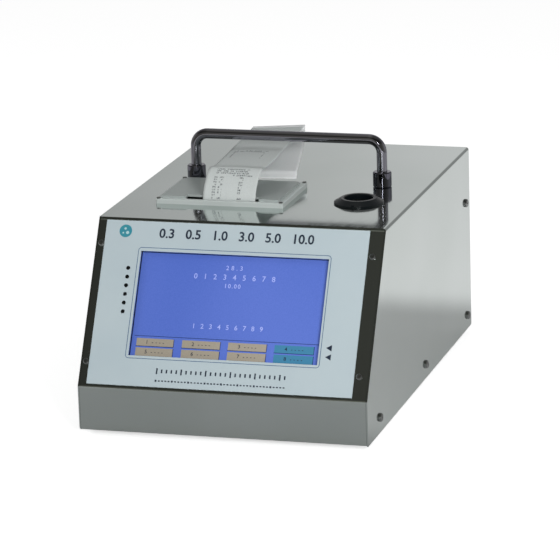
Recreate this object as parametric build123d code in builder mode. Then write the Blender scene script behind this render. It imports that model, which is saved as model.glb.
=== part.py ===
from build123d import *

import os
from math import cos, pi, radians, sin, sqrt, tan

os.makedirs("parts", exist_ok=True)

# Housing envelope
foot_height = 5.0
housing_width = 235.0
housing_height = 156.0
top_depth = 280.0
strip_height = 36.0
slope_angle = 30.0
slope_run = (housing_height - strip_height) * tan(radians(slope_angle))
rear_reach = 18.0
overall_depth = slope_run + top_depth + rear_reach
front_y = -overall_depth / 2
crest_y = front_y + slope_run
rear_y = crest_y + top_depth
bottom_z = foot_height
top_z = bottom_z + housing_height
bend_radius = 2.5
cover_sheet = 1.2
chassis_sheet = 1.5
side_seam = 0.15
inner_x = housing_width / 2 - cover_sheet
slope_sin = sin(radians(slope_angle))
slope_cos = cos(radians(slope_angle))
slope_length = (housing_height - strip_height) / slope_cos
floor_z = bottom_z + chassis_sheet
ceiling_z = top_z - cover_sheet
panel_face_y = rear_y - chassis_sheet
running_clearance = 0.05

# Fascia graphics field, in fascia coordinates: u across, v down the slope from the crest
overlay_sheet = 0.5
overlay_left = -housing_width / 2 + 7.0
overlay_right = housing_width / 2 - 12.5
window_u = -2.25
window_v = 69.15
window_width = 153.7
window_height = 84.9
lamp_u = window_u - window_width / 2 - 9.0
lamp_first_v = 41.2
lamp_pitch = 7.08
lamp_count = 6
lamp_radius = 1.65
fascia_screw_head_radius = 2.4
fascia_screw_head_height = 1.5
fascia_screw_radius = 1.25
fascia_screw_left = -housing_width / 2 + 4.5
fascia_screw_right = housing_width / 2 - 8.5
fascia_screw_points = [
    (fascia_screw_left, 21.7),
    (fascia_screw_left, 118.2),
    (fascia_screw_right, 23.2),
    (fascia_screw_right, 118.9),
]
cover_flange_width = 12.0

# Cover screws, as distance behind the crest and height above the housing's underside
side_screw_points = [(265.5, 110.6), (266.5, 11.7), (117.0, 11.8), (-32.0, 12.5)]
side_screw_head_radius = 3.5
side_screw_head_height = 2.0
side_screw_radius = 1.6
side_screw_length = 7.0
side_flange_height = 18.0

# Handle
handle_centre_x = 1.0
handle_pitch = 158.0
handle_y = crest_y + 133.0
handle_rise = 39.0
handle_radius = 4.25
handle_bend = 10.5
ferrule_radius = 7.65
ferrule_height = 12.6
handle_screw_radius = 2.5
handle_screw_depth = 14.0
handle_screw_head_radius = 4.5
handle_screw_head_height = 3.5

# Printer
printer_x = -33.1
bezel_width = 106.4
bezel_depth = 73.0
bezel_front_y = crest_y + 48.0
bezel_height = 4.0
bezel_step = 4.0
bay_margin = 6.0
bay_front_y = bezel_front_y + 6.0
bay_rear_y = bezel_front_y + 70.3
bay_width = bezel_width - 2 * bay_margin
lid_thickness = 1.8
lid_slot_width = 61.0
lid_slot_x = -31.5
lid_slot_depth = 6.5
lid_axis_y = bezel_front_y + 66.2
lid_axis_z = top_z + 2.2
lid_barrel_radius = 2.2
lid_side_gap = 0.2
lid_heel = 1.0
lid_shoulder = 2.4
lid_pin_radius = 1.0
lid_pin_length = 8.0
bezel_screw_radius = 0.9
bezel_screw_head_radius = 1.7
bezel_screw_head_height = 1.0
bezel_screw_inset = 2.1
tray_wall = 1.2
tray_depth = 45.2
cheek_wall = 1.5
cheek_height = 41.0
paper_width = 44.0
paper_x = -27.0
paper_sheet = 0.25
roll_y = crest_y + 96.0
roll_z = top_z - 23.0
roll_radius = 17.0
roll_bore = 6.0
spindle_radius = 3.0
platen_y = crest_y + 62.0
platen_z = top_z - 10.0
platen_radius = 5.0
platen_length = 44.4
axle_radius = 1.5
gear_module = 0.8
platen_teeth = 18
pinion_teeth = 10
gear_width = 4.0
gear_x = -60.0
gear_gap = 0.1
motor_radius = 8.0

# Sample inlet
inlet_x = housing_width / 2 - 42.5
inlet_y = crest_y + 77.0
ring_radius = 20.0
ring_bore = 11.5
ring_height = 4.5
well_wall = 1.5
well_depth = 26.0
nozzle_radius = 4.0
nozzle_bore = 2.5
nozzle_shank_radius = 3.5
nozzle_shank_length = 12.0
nozzle_top = 4.0

# Flow train
sensor_top_z = top_z - 51.0
sensor_height = 45.0
sensor_width = 50.0
sensor_depth = 60.0
hose_wall = 2.0
outlet_drop = 35.0
spigot_radius = 5.0
blower_y = crest_y + 150.0
blower_z = sensor_top_z - outlet_drop
blower_radius = 38.0
blower_depth = 30.0
blower_wall = 2.0
exhaust_gap = 20.0
exhaust_x = inlet_x - blower_radius - exhaust_gap
exhaust_z = blower_z + 24.0
exhaust_radius = 6.0
exhaust_bore = 4.0
filter_radius = 19.0
filter_length = 60.0

# Rear panel
socket_x = -housing_width / 2 + 39.5
socket_z = bottom_z + 36.0
switch_x = socket_x
switch_z = bottom_z + 72.0
serial_x = socket_x + 48.0
serial_z = bottom_z + 36.0
fan_x = inlet_x
fan_z = bottom_z + 112.0
fan_size = 40.0
fan_depth = 10.0

fascia = Plane(
    origin=(0, crest_y, top_z),
    x_dir=(1, 0, 0),
    z_dir=(0, -slope_cos, slope_sin),
)
rear_outside = Plane(origin=(0, rear_y, 0), x_dir=(-1, 0, 0), z_dir=(0, 1, 0))
rear_inside = Plane(origin=(0, panel_face_y, 0), x_dir=(1, 0, 0), z_dir=(0, -1, 0))
side_profile = Plane.YZ
right_side = Plane(origin=(inner_x, 0, 0), x_dir=(0, 1, 0), z_dir=(1, 0, 0))
left_side = Plane(origin=(-inner_x, 0, 0), x_dir=(0, -1, 0), z_dir=(-1, 0, 0))
lamp_points = [(lamp_u, -(lamp_first_v + i * lamp_pitch)) for i in range(lamp_count)]
fascia_points = [(u, -v) for u, v in fascia_screw_points]
right_points = [(crest_y + y, bottom_z + z) for y, z in side_screw_points]
left_points = [(-crest_y - y, bottom_z + z) for y, z in side_screw_points]
handle_points = [
    (handle_centre_x - handle_pitch / 2, handle_y),
    (handle_centre_x + handle_pitch / 2, handle_y),
]
bezel_rear_y = bezel_front_y + bezel_depth
bezel_centre_y = (bezel_front_y + bezel_rear_y) / 2
bay_centre_y = (bay_front_y + bay_rear_y) / 2
bay_depth = bay_rear_y - bay_front_y
bezel_screw_points = [
    (printer_x + i * (bezel_width / 2 - bezel_screw_inset), bezel_centre_y + j * (bezel_depth / 2 - 1.75))
    for i in (-1, 1)
    for j in (-1, 1)
]

# Base chassis: floor, front strip and sloping fascia folded from one sheet
slope_dy = chassis_sheet / slope_cos
chassis_top_y = crest_y - cover_sheet * tan(radians(slope_angle))
inner_strip_z = bottom_z + strip_height - chassis_sheet * tan(radians(slope_angle / 2))
inner_top_y = chassis_top_y + slope_dy - chassis_sheet * tan(radians(slope_angle))
fascia_lip = 14.0
chassis_outline = [
    (rear_y, bottom_z),
    (front_y, bottom_z),
    (front_y, bottom_z + strip_height),
    (chassis_top_y, ceiling_z),
    (chassis_top_y + fascia_lip, ceiling_z),
    (chassis_top_y + fascia_lip, ceiling_z - chassis_sheet),
    (inner_top_y, ceiling_z - chassis_sheet),
    (front_y + chassis_sheet, inner_strip_z),
    (front_y + chassis_sheet, floor_z),
    (rear_y, floor_z),
]
gasket_sheet = 2.5
glass_sheet = 1.8
module_sheet = 5.2
stud_radius = 3.0
stud_height = gasket_sheet + glass_sheet + module_sheet
retainer_width = 190.0
retainer_height = 118.0
stud_inset = 7.0
stud_points = [
    (window_u + i * (retainer_width / 2 - stud_inset), -(window_v + j * (retainer_height / 2 - 5.0)))
    for i in (-1, 1)
    for j in (-1, 1)
]
foot_x = housing_width / 2 - 29.5
foot_points = [(i * foot_x, y) for i in (-1, 1) for y in (front_y + 42.0, rear_y - 40.0)]
foot_screw_radius = 2.0
rear_screw_x = housing_width / 2 - 57.5
rear_screw_points = [(-rear_screw_x, rear_y - 8.0), (rear_screw_x, rear_y - 8.0)]
rear_screw_radius = 1.5
bracket_sheet = 2.0
bracket_foot = 10.0
bracket_points = [
    (inlet_x + i * (sensor_width / 2 + bracket_foot / 2), inlet_y + j * 20.0) for i in (-1, 1) for j in (-1, 1)
]

board_x = -35.0
board_y = front_y + 112.0
board_width = 120.0
board_depth = 110.0
board_sheet = 1.6
spacer_height = 8.0
spacer_radius = 3.2
spacer_inset = 6.0
spacer_points = [
    (board_x + i * (board_width / 2 - spacer_inset), board_y + j * (board_depth / 2 - spacer_inset))
    for i in (-1, 1)
    for j in (-1, 1)
]

# Picks the corners of the side profile that lie at given places
def corners_at(found, places):
    return [v for v in found if any(abs(v.X - y) + abs(v.Y - z) < 0.01 for y, z in places)]


with BuildPart() as base_chassis:
    with BuildSketch(side_profile):
        with BuildLine():
            Polyline(*chassis_outline, close=True)
        make_face()
        outer_bends = [chassis_outline[i] for i in (1, 2, 3)]
        inner_bends = [chassis_outline[i] for i in (6, 7, 8)]
        fillet(corners_at(vertices(), outer_bends), bend_radius)
        fillet(corners_at(vertices(), inner_bends), bend_radius - chassis_sheet)
    extrude(amount=inner_x - side_seam, both=True)
    for side in (-1, 1):
        with Locations((side * (inner_x - chassis_sheet / 2), (front_y + rear_y) / 2 + 8, floor_z)):
            Box(
                chassis_sheet,
                rear_y - front_y - 24,
                side_flange_height,
                align=(Align.CENTER, Align.CENTER, Align.MIN),
            )
    with BuildSketch(fascia):
        with Locations((window_u, -window_v)):
            Rectangle(window_width, window_height)
        with Locations(*lamp_points):
            Circle(lamp_radius)
        with Locations(*fascia_points):
            Circle(fascia_screw_radius)
    extrude(amount=-2 * chassis_sheet, mode=Mode.SUBTRACT)
    with BuildSketch(fascia.offset(-chassis_sheet)):
        with Locations(*stud_points):
            Circle(stud_radius)
    extrude(amount=-stud_height)
    with BuildSketch(fascia.offset(-chassis_sheet - stud_height)):
        with Locations(*stud_points):
            Circle(fascia_screw_radius)
    extrude(amount=stud_height - 1, mode=Mode.SUBTRACT)
    with BuildSketch(Plane.XY.offset(bottom_z)):
        with Locations(*foot_points):
            Circle(foot_screw_radius)
        with Locations(*rear_screw_points, *bracket_points):
            Circle(rear_screw_radius)
    extrude(amount=chassis_sheet, mode=Mode.SUBTRACT)
    with BuildSketch(right_side):
        with Locations(*right_points[1:]):
            Circle(side_screw_radius)
    extrude(amount=-chassis_sheet, mode=Mode.SUBTRACT)
    with BuildSketch(left_side):
        with Locations(*left_points[1:]):
            Circle(side_screw_radius)
    extrude(amount=-chassis_sheet, mode=Mode.SUBTRACT)
    with BuildSketch(Plane.XY.offset(floor_z)):
        with Locations(*spacer_points):
            RegularPolygon(spacer_radius, 6)
    extrude(amount=spacer_height)
    with BuildSketch(Plane.XY.offset(floor_z + 1)):
        with Locations(*spacer_points):
            Circle(fascia_screw_radius)
    extrude(amount=spacer_height, mode=Mode.SUBTRACT)
base_chassis.part.label = "base_chassis"
export_step(base_chassis.part, "parts/base_chassis.step")

# Top cover: top and both sides folded from one sheet, with lips behind the fascia
cover_corners = [(housing_width / 2, top_z), (-housing_width / 2, bottom_z)]
with BuildPart() as top_cover:
    with BuildSketch(Plane(origin=(0, rear_y, 0), x_dir=(1, 0, 0), z_dir=(0, -1, 0))):
        with Locations((0, bottom_z + housing_height / 2)):
            Rectangle(housing_width, housing_height)
        fillet(corners_at(vertices(), cover_corners), bend_radius)
        with Locations((0, bottom_z + (housing_height - cover_sheet) / 2)):
            Rectangle(2 * inner_x, housing_height - cover_sheet, mode=Mode.SUBTRACT)
    extrude(amount=rear_y - front_y)
    with BuildSketch(side_profile):
        with BuildLine():
            Polyline(
                (front_y, bottom_z),
                (front_y, bottom_z + strip_height),
                (crest_y, top_z),
                (rear_y, top_z),
                (rear_y, bottom_z),
                close=True,
            )
        make_face()
    extrude(amount=housing_width / 2, both=True, mode=Mode.INTERSECT)
    with BuildSketch(fascia.offset(-chassis_sheet)):
        for side in (-1, 1):
            with Locations((side * (inner_x - cover_flange_width / 2), -slope_length / 2)):
                Rectangle(cover_flange_width, slope_length - 24)
    extrude(amount=-cover_sheet)
    with BuildSketch(fascia.offset(-chassis_sheet)):
        with Locations(*fascia_points):
            Circle(fascia_screw_radius)
    extrude(amount=-cover_sheet, mode=Mode.SUBTRACT)
    with BuildSketch(Plane.XY.offset(top_z)):
        with Locations((printer_x, bay_centre_y)):
            Rectangle(bay_width + 2 * tray_wall + 1, bay_depth + 2 * tray_wall + 0.6)
        with Locations((inlet_x, inlet_y)):
            Circle(ring_bore + well_wall)
        with Locations(*handle_points):
            Circle(handle_screw_radius)
        with Locations(*bezel_screw_points):
            Circle(bezel_screw_radius)
    extrude(amount=-cover_sheet - 2, mode=Mode.SUBTRACT)
    with BuildSketch(right_side):
        with Locations(*right_points):
            Circle(side_screw_radius)
    extrude(amount=cover_sheet, mode=Mode.SUBTRACT)
    with BuildSketch(left_side):
        with Locations(*left_points):
            Circle(side_screw_radius)
    extrude(amount=cover_sheet, mode=Mode.SUBTRACT)
top_cover.part.label = "top_cover"
export_step(top_cover.part, "parts/top_cover.step")

# Screws along the cover's sides
with BuildPart() as cover_screws:
    for plane, points in ((right_side, right_points), (left_side, left_points)):
        with BuildSketch(plane.offset(cover_sheet)):
            with Locations(*points):
                Circle(side_screw_head_radius)
        extrude(amount=side_screw_head_height)
        with BuildSketch(plane.offset(cover_sheet - side_screw_length)):
            with Locations(*points):
                Circle(side_screw_radius)
        extrude(amount=side_screw_length)
    rims = cover_screws.edges().filter_by(GeomType.CIRCLE).filter_by(
        lambda e: abs(abs(e.center().X) - inner_x - cover_sheet - side_screw_head_height) < 0.01
    )
    chamfer(rims, 0.8)
    for plane, points in ((right_side, right_points), (left_side, left_points)):
        with BuildSketch(plane.offset(cover_sheet + side_screw_head_height)):
            with Locations(*points):
                Rectangle(4.0, 0.8)
                Rectangle(0.8, 4.0)
        extrude(amount=-1.2, mode=Mode.SUBTRACT)
cover_screws.part.label = "cover_screws"
export_step(cover_screws.part, "parts/cover_screws.step")

# Front overlay, a laminated label sheet with a display opening
with BuildPart() as front_overlay:
    with BuildSketch(fascia):
        with Locations(((overlay_left + overlay_right) / 2, -slope_length / 2)):
            Rectangle(overlay_right - overlay_left, slope_length - 2 * bend_radius)
        with Locations((window_u, -window_v)):
            Rectangle(window_width, window_height, mode=Mode.SUBTRACT)
        with Locations(*lamp_points):
            Circle(lamp_radius, mode=Mode.SUBTRACT)
    extrude(amount=overlay_sheet)
front_overlay.part.label = "front_overlay"
export_step(front_overlay.part, "parts/front_overlay.step")

with BuildPart() as fascia_screws:
    with BuildSketch(fascia):
        with Locations(*fascia_points):
            Circle(fascia_screw_head_radius)
    extrude(amount=fascia_screw_head_height)
    crowns = fascia_screws.faces().sort_by(Axis((0, 0, 0), (0, -slope_cos, slope_sin)))[-4:]
    chamfer(crowns.edges(), 0.6)
    with BuildSketch(fascia):
        with Locations(*fascia_points):
            Circle(fascia_screw_radius)
    extrude(amount=-8.0)
    with BuildSketch(fascia.offset(fascia_screw_head_height)):
        with Locations(*fascia_points):
            Rectangle(2.8, 0.6)
            Rectangle(0.6, 2.8)
    extrude(amount=-0.8, mode=Mode.SUBTRACT)
fascia_screws.part.label = "fascia_screws"
export_step(fascia_screws.part, "parts/fascia_screws.step")

# Display stack behind the fascia
glass_gap = chassis_sheet + gasket_sheet
display_gap = glass_gap + glass_sheet
gasket_side = 6.15
gasket_end = 8.05
display_width = window_width + 2 * gasket_side
display_height = window_height + 2 * gasket_end
retainer_sheet = 1.5
display_bump_width = 60.0
display_bump_height = 40.0

with BuildPart() as display_gasket:
    with BuildSketch(fascia.offset(-chassis_sheet)):
        with Locations((window_u, -window_v)):
            Rectangle(display_width, display_height)
            Rectangle(window_width, window_height, mode=Mode.SUBTRACT)
    extrude(amount=-gasket_sheet)
display_gasket.part.label = "display_gasket"
export_step(display_gasket.part, "parts/display_gasket.step")

with BuildPart() as display_window:
    with BuildSketch(fascia.offset(-glass_gap)):
        with Locations((window_u, -window_v)):
            Rectangle(display_width, display_height)
    extrude(amount=-glass_sheet)
display_window.part.label = "display_window"
export_step(display_window.part, "parts/display_window.step")

with BuildPart() as lcd_module:
    with BuildSketch(fascia.offset(-display_gap)):
        with Locations((window_u, -window_v)):
            Rectangle(display_width - 1, display_height - 1)
    extrude(amount=-module_sheet)
    with BuildSketch(fascia.offset(-display_gap - module_sheet)):
        with Locations((window_u + display_bump_width / 2, -window_v)):
            Rectangle(display_bump_width, display_bump_height)
    extrude(amount=-3)
lcd_module.part.label = "lcd_module"
export_step(lcd_module.part, "parts/lcd_module.step")

with BuildPart() as display_retainer:
    with BuildSketch(fascia.offset(-chassis_sheet - stud_height)):
        with Locations((window_u, -window_v)):
            Rectangle(retainer_width, retainer_height)
            Rectangle(display_width - 30, display_height - 30, mode=Mode.SUBTRACT)
        with Locations(*stud_points):
            Circle(fascia_screw_radius, mode=Mode.SUBTRACT)
    extrude(amount=-retainer_sheet)
display_retainer.part.label = "display_retainer"
export_step(display_retainer.part, "parts/display_retainer.step")

with BuildPart() as channel_lamps:
    with BuildSketch(fascia.offset(-chassis_sheet - 2)):
        with Locations(*lamp_points):
            Circle(lamp_radius)
    extrude(amount=chassis_sheet + overlay_sheet + 2.3)
    lamp_ends = channel_lamps.faces().sort_by(Axis((0, 0, 0), (0, -slope_cos, slope_sin)))[-lamp_count:]
    chamfer(lamp_ends.edges(), 0.3)
channel_lamps.part.label = "channel_lamps"
export_step(channel_lamps.part, "parts/channel_lamps.step")

with BuildPart() as lamp_board:
    with BuildSketch(fascia.offset(-chassis_sheet - 2)):
        with Locations((lamp_u - 2.0, -(lamp_first_v + 2.5 * lamp_pitch))):
            Rectangle(8.0, 46.0)
    extrude(amount=-(stud_height - 2))
lamp_board.part.label = "lamp_board"
export_step(lamp_board.part, "parts/lamp_board.step")

# Feet and their screws
foot_radius = 9.0
foot_recess_radius = 5.0
foot_recess = 2.5
foot_head_radius = 4.0
with BuildPart() as feet:
    with BuildSketch(Plane.XY.offset(bottom_z)):
        with Locations(*foot_points):
            Circle(foot_radius)
    extrude(amount=-foot_height, taper=5)
    with BuildSketch(Plane.XY):
        with Locations(*foot_points):
            Circle(foot_recess_radius)
    extrude(amount=foot_recess, mode=Mode.SUBTRACT)
    with BuildSketch(Plane.XY):
        with Locations(*foot_points):
            Circle(foot_screw_radius)
    extrude(amount=foot_height, mode=Mode.SUBTRACT)
feet.part.label = "feet"
export_step(feet.part, "parts/feet.step")

# Carrying handle: one bent bar on two ferrules, bolted from inside
bar_z = top_z + handle_rise
handle_plane = Plane(origin=(handle_centre_x, handle_y, top_z), x_dir=(1, 0, 0), z_dir=(0, -1, 0))
with BuildPart() as carry_handle:
    with BuildLine(handle_plane) as handle_path:
        Polyline(
            (-handle_pitch / 2, 0),
            (-handle_pitch / 2, handle_rise),
            (handle_pitch / 2, handle_rise),
            (handle_pitch / 2, 0),
        )
        fillet(handle_path.vertices().sort_by(Axis.Z)[-2:], handle_bend)
    with BuildSketch(Plane(origin=(handle_points[0][0], handle_y, top_z))):
        Circle(handle_radius)
    sweep(path=handle_path.wires()[0])
    with BuildSketch(Plane.XY.offset(top_z)):
        with Locations(*handle_points):
            Circle(handle_screw_radius)
    extrude(amount=handle_screw_depth, mode=Mode.SUBTRACT)
carry_handle.part.label = "carry_handle"
export_step(carry_handle.part, "parts/carry_handle.step")

with BuildPart() as handle_ferrules:
    with BuildSketch(Plane.XY.offset(top_z)):
        with Locations(*handle_points):
            Circle(ferrule_radius)
            Circle(handle_radius, mode=Mode.SUBTRACT)
    extrude(amount=ferrule_height)
    rims = handle_ferrules.edges().filter_by(GeomType.CIRCLE).filter_by(
        lambda e: abs(e.radius - ferrule_radius) < 0.01
    )
    chamfer(rims, 0.8)
handle_ferrules.part.label = "handle_ferrules"
export_step(handle_ferrules.part, "parts/handle_ferrules.step")

with BuildPart() as handle_screws:
    with BuildSketch(Plane.XY.offset(ceiling_z)):
        with Locations(*handle_points):
            Circle(handle_screw_head_radius)
    extrude(amount=-handle_screw_head_height)
    with BuildSketch(Plane.XY.offset(ceiling_z)):
        with Locations(*handle_points):
            Circle(handle_screw_radius)
    extrude(amount=cover_sheet + handle_screw_depth - 1)
handle_screws.part.label = "handle_screws"
export_step(handle_screws.part, "parts/handle_screws.step")

# Printer bezel
slot_bay_y = bezel_front_y + 3.5
pin_x = bay_width / 2 + 2.0
with BuildPart() as printer_bezel:
    with BuildSketch(Plane.XY.offset(top_z)):
        with Locations((printer_x, bezel_centre_y)):
            Rectangle(bezel_width, bezel_depth)
        fillet(vertices(), 1.2)
    extrude(amount=bezel_height)
    chamfer(printer_bezel.faces().sort_by(Axis.Z)[-1].edges(), 0.5)
    with BuildSketch(Plane.XY.offset(top_z)):
        with Locations((printer_x, bay_centre_y)):
            Rectangle(bay_width, bay_depth)
        with Locations((lid_slot_x, slot_bay_y)):
            Rectangle(lid_slot_width, bay_front_y - slot_bay_y + 1, align=(Align.CENTER, Align.MIN))
    extrude(amount=bezel_height, mode=Mode.SUBTRACT)
    with BuildSketch(Plane(origin=(printer_x, lid_axis_y, lid_axis_z), x_dir=(0, 1, 0), z_dir=(1, 0, 0))):
        Circle(lid_pin_radius)
    extrude(amount=bay_width / 2 + 4.0, both=True, mode=Mode.SUBTRACT)
    with BuildSketch(Plane.XY.offset(top_z)):
        with Locations(*bezel_screw_points):
            Circle(bezel_screw_radius)
    extrude(amount=bezel_height, mode=Mode.SUBTRACT)
printer_bezel.part.label = "printer_bezel"
export_step(printer_bezel.part, "parts/printer_bezel.step")

with BuildPart() as bezel_screws:
    with BuildSketch(Plane.XY.offset(top_z + bezel_height)):
        with Locations(*bezel_screw_points):
            Circle(bezel_screw_head_radius)
    extrude(amount=bezel_screw_head_height)
    chamfer(bezel_screws.faces().sort_by(Axis.Z)[-4:].edges(), 0.4)
    with BuildSketch(Plane.XY.offset(top_z + bezel_height)):
        with Locations(*bezel_screw_points):
            Circle(bezel_screw_radius)
    extrude(amount=-bezel_height - cover_sheet - 2)
bezel_screws.part.label = "bezel_screws"
export_step(bezel_screws.part, "parts/bezel_screws.step")

# Printer lid, hinged along its rear edge and notched where the paper leaves
lid_front_y = bezel_front_y + bezel_step
lid_top_z = top_z + bezel_height + lid_thickness
lid_width = bezel_width - 2 * bezel_step
barrel_length = bay_width - 2 * lid_side_gap
lid_axle = Plane(origin=(printer_x, lid_axis_y, lid_axis_z), x_dir=(0, 1, 0), z_dir=(1, 0, 0))
with BuildPart() as printer_lid:
    with BuildSketch(Plane.XY.offset(top_z + bezel_height)):
        with Locations((printer_x, lid_front_y)):
            Rectangle(lid_width, lid_axis_y - lid_shoulder - lid_front_y, align=(Align.CENTER, Align.MIN))
        with Locations((printer_x, lid_axis_y - lid_shoulder - 1)):
            Rectangle(barrel_length, lid_shoulder + lid_heel + 1, align=(Align.CENTER, Align.MIN))
        with Locations((lid_slot_x, lid_front_y)):
            Rectangle(lid_slot_width, 2 * lid_slot_depth, mode=Mode.SUBTRACT)
    extrude(amount=lid_thickness)
    with BuildSketch(lid_axle):
        Circle(lid_barrel_radius)
    extrude(amount=barrel_length / 2, both=True)
    with BuildSketch(lid_axle):
        Circle(lid_pin_radius + running_clearance)
    extrude(amount=barrel_length / 2, both=True, mode=Mode.SUBTRACT)
    with BuildSketch(lid_axle):
        Circle(lid_pin_radius + running_clearance)
    extrude(amount=barrel_length / 2 - 5, both=True)
printer_lid.part.label = "printer_lid"
export_step(printer_lid.part, "parts/printer_lid.step")

with BuildPart() as lid_pins:
    for side in (-1, 1):
        with Locations((printer_x + side * bay_width / 2, lid_axis_y, lid_axis_z)):
            Cylinder(lid_pin_radius, lid_pin_length, rotation=(0, 90, 0))
lid_pins.part.label = "lid_pins"
export_step(lid_pins.part, "parts/lid_pins.step")

# Printer tray with two cheeks that carry the roll and the platen
tray_floor_z = top_z - tray_depth
cheek_left = paper_x - paper_width / 2 - 5.0
cheek_right = paper_x + paper_width / 2 + 0.4
with BuildPart() as printer_tray:
    with BuildSketch(Plane.XY.offset(tray_floor_z)):
        with Locations((printer_x, bay_centre_y)):
            Rectangle(bay_width + 2 * tray_wall, bay_depth + 2 * tray_wall)
    extrude(amount=tray_depth)
    with BuildSketch(Plane.XY.offset(tray_floor_z + tray_wall)):
        with Locations((printer_x, bay_centre_y)):
            Rectangle(bay_width, bay_depth)
    extrude(amount=tray_depth, mode=Mode.SUBTRACT)
    with BuildSketch(Plane.XY.offset(tray_floor_z + tray_wall)):
        with Locations((cheek_left, bay_centre_y), (cheek_right, bay_centre_y)):
            Rectangle(cheek_wall, bay_depth, align=(Align.MIN, Align.CENTER))
    extrude(amount=cheek_height)
    with BuildSketch(Plane(origin=(cheek_left - 1, 0, 0), x_dir=(0, 1, 0), z_dir=(1, 0, 0))):
        with Locations((platen_y, platen_z)):
            Circle(axle_radius + running_clearance)
        with Locations((roll_y, roll_z)):
            Circle(spindle_radius)
        with Locations((roll_y, roll_z)):
            Rectangle(2 * spindle_radius, 40, align=(Align.CENTER, Align.MIN))
    extrude(amount=cheek_right - cheek_left + 4, mode=Mode.SUBTRACT)
printer_tray.part.label = "printer_tray"
export_step(printer_tray.part, "parts/printer_tray.step")

with BuildPart() as roll_spindle:
    with BuildSketch(Plane(origin=(cheek_left, roll_y, roll_z), x_dir=(0, 1, 0), z_dir=(1, 0, 0))):
        Circle(spindle_radius)
    extrude(amount=cheek_right + cheek_wall - cheek_left)
    with BuildSketch(Plane(origin=(paper_x - paper_width / 2 - 1.8, roll_y, roll_z), x_dir=(0, 1, 0), z_dir=(1, 0, 0))):
        Circle(roll_bore - running_clearance)
    extrude(amount=paper_width + 2)
    with BuildSketch(Plane(origin=(paper_x - paper_width / 2 - 1.8, roll_y, roll_z), x_dir=(0, 1, 0), z_dir=(1, 0, 0))):
        Circle(2 * roll_bore)
    extrude(amount=1.5)
roll_spindle.part.label = "roll_spindle"
export_step(roll_spindle.part, "parts/roll_spindle.step")


with BuildPart() as paper_roll:
    with BuildSketch(Plane(origin=(paper_x, roll_y, roll_z), x_dir=(0, 1, 0), z_dir=(1, 0, 0))):
        Circle(roll_radius)
        Circle(roll_bore, mode=Mode.SUBTRACT)
    extrude(amount=paper_width / 2 - 0.1, both=True)
paper_roll.part.label = "paper_roll"
export_step(paper_roll.part, "parts/paper_roll.step")

with BuildPart() as platen_roller:
    with BuildSketch(Plane(origin=(paper_x, platen_y, platen_z), x_dir=(0, 1, 0), z_dir=(1, 0, 0))):
        Circle(platen_radius)
        Circle(axle_radius, mode=Mode.SUBTRACT)
    extrude(amount=platen_length / 2, both=True)
platen_roller.part.label = "platen_roller"
export_step(platen_roller.part, "parts/platen_roller.step")

axle_left = gear_x - gear_width / 2 - 1


# Straight-flanked gear outline with running backlash
def gear_outline(teeth, turn):
    pitch_r = gear_module * teeth / 2
    step = 2 * pi / teeth
    corners = []
    for i in range(teeth):
        middle = turn + i * step
        for share, radius in (
            (-0.27, pitch_r - 1.15 * gear_module),
            (-0.11, pitch_r + 0.8 * gear_module),
            (0.11, pitch_r + 0.8 * gear_module),
            (0.27, pitch_r - 1.15 * gear_module),
        ):
            corners.append((radius * cos(middle + share * step), radius * sin(middle + share * step)))
    return corners


motor_angle = radians(-45.0)
gear_centres = gear_module * (platen_teeth + pinion_teeth) / 2 + gear_gap
motor_y = platen_y + gear_centres * cos(motor_angle)
motor_z = platen_z + gear_centres * sin(motor_angle)
tray_left = printer_x - bay_width / 2

with BuildPart() as platen_axle:
    with BuildSketch(Plane(origin=(axle_left, platen_y, platen_z), x_dir=(0, 1, 0), z_dir=(1, 0, 0))):
        Circle(axle_radius)
    extrude(amount=cheek_right + cheek_wall + 2 - axle_left)
    with BuildSketch(Plane(origin=(gear_x, platen_y, platen_z), x_dir=(0, 1, 0), z_dir=(1, 0, 0))):
        with BuildLine():
            Polyline(*gear_outline(platen_teeth, motor_angle), close=True)
        make_face()
    extrude(amount=gear_width / 2, both=True)
platen_axle.part.label = "platen_axle"
export_step(platen_axle.part, "parts/platen_axle.step")

motor_face_x = gear_x - gear_width / 2 - 2
with BuildPart() as feed_motor:
    with BuildSketch(Plane(origin=(tray_left, motor_y, motor_z), x_dir=(0, 1, 0), z_dir=(1, 0, 0))):
        Circle(motor_radius)
    extrude(amount=motor_face_x - tray_left)
    with BuildSketch(Plane(origin=(motor_face_x, motor_y, motor_z), x_dir=(0, 1, 0), z_dir=(1, 0, 0))):
        Circle(axle_radius + running_clearance)
    extrude(amount=-8, mode=Mode.SUBTRACT)
feed_motor.part.label = "feed_motor"
export_step(feed_motor.part, "parts/feed_motor.step")

with BuildPart() as motor_pinion:
    with BuildSketch(Plane(origin=(gear_x, motor_y, motor_z), x_dir=(0, 1, 0), z_dir=(1, 0, 0))):
        with BuildLine():
            Polyline(*gear_outline(pinion_teeth, motor_angle + pi + pi / pinion_teeth), close=True)
        make_face()
    extrude(amount=gear_width / 2, both=True)
    with BuildSketch(Plane(origin=(gear_x, motor_y, motor_z), x_dir=(0, 1, 0), z_dir=(1, 0, 0))):
        Circle(axle_radius)
    extrude(amount=-gear_width / 2 - 9)
motor_pinion.part.label = "motor_pinion"
export_step(motor_pinion.part, "parts/motor_pinion.step")

head_depth = platen_y - platen_radius - 0.4 - bay_front_y
with BuildPart() as print_head:
    with Locations((paper_x, bay_front_y, platen_z)):
        Box(paper_width + 0.4, head_depth, 14, align=(Align.CENTER, Align.MIN, Align.CENTER))
print_head.part.label = "print_head"
export_step(print_head.part, "parts/print_head.step")

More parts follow.
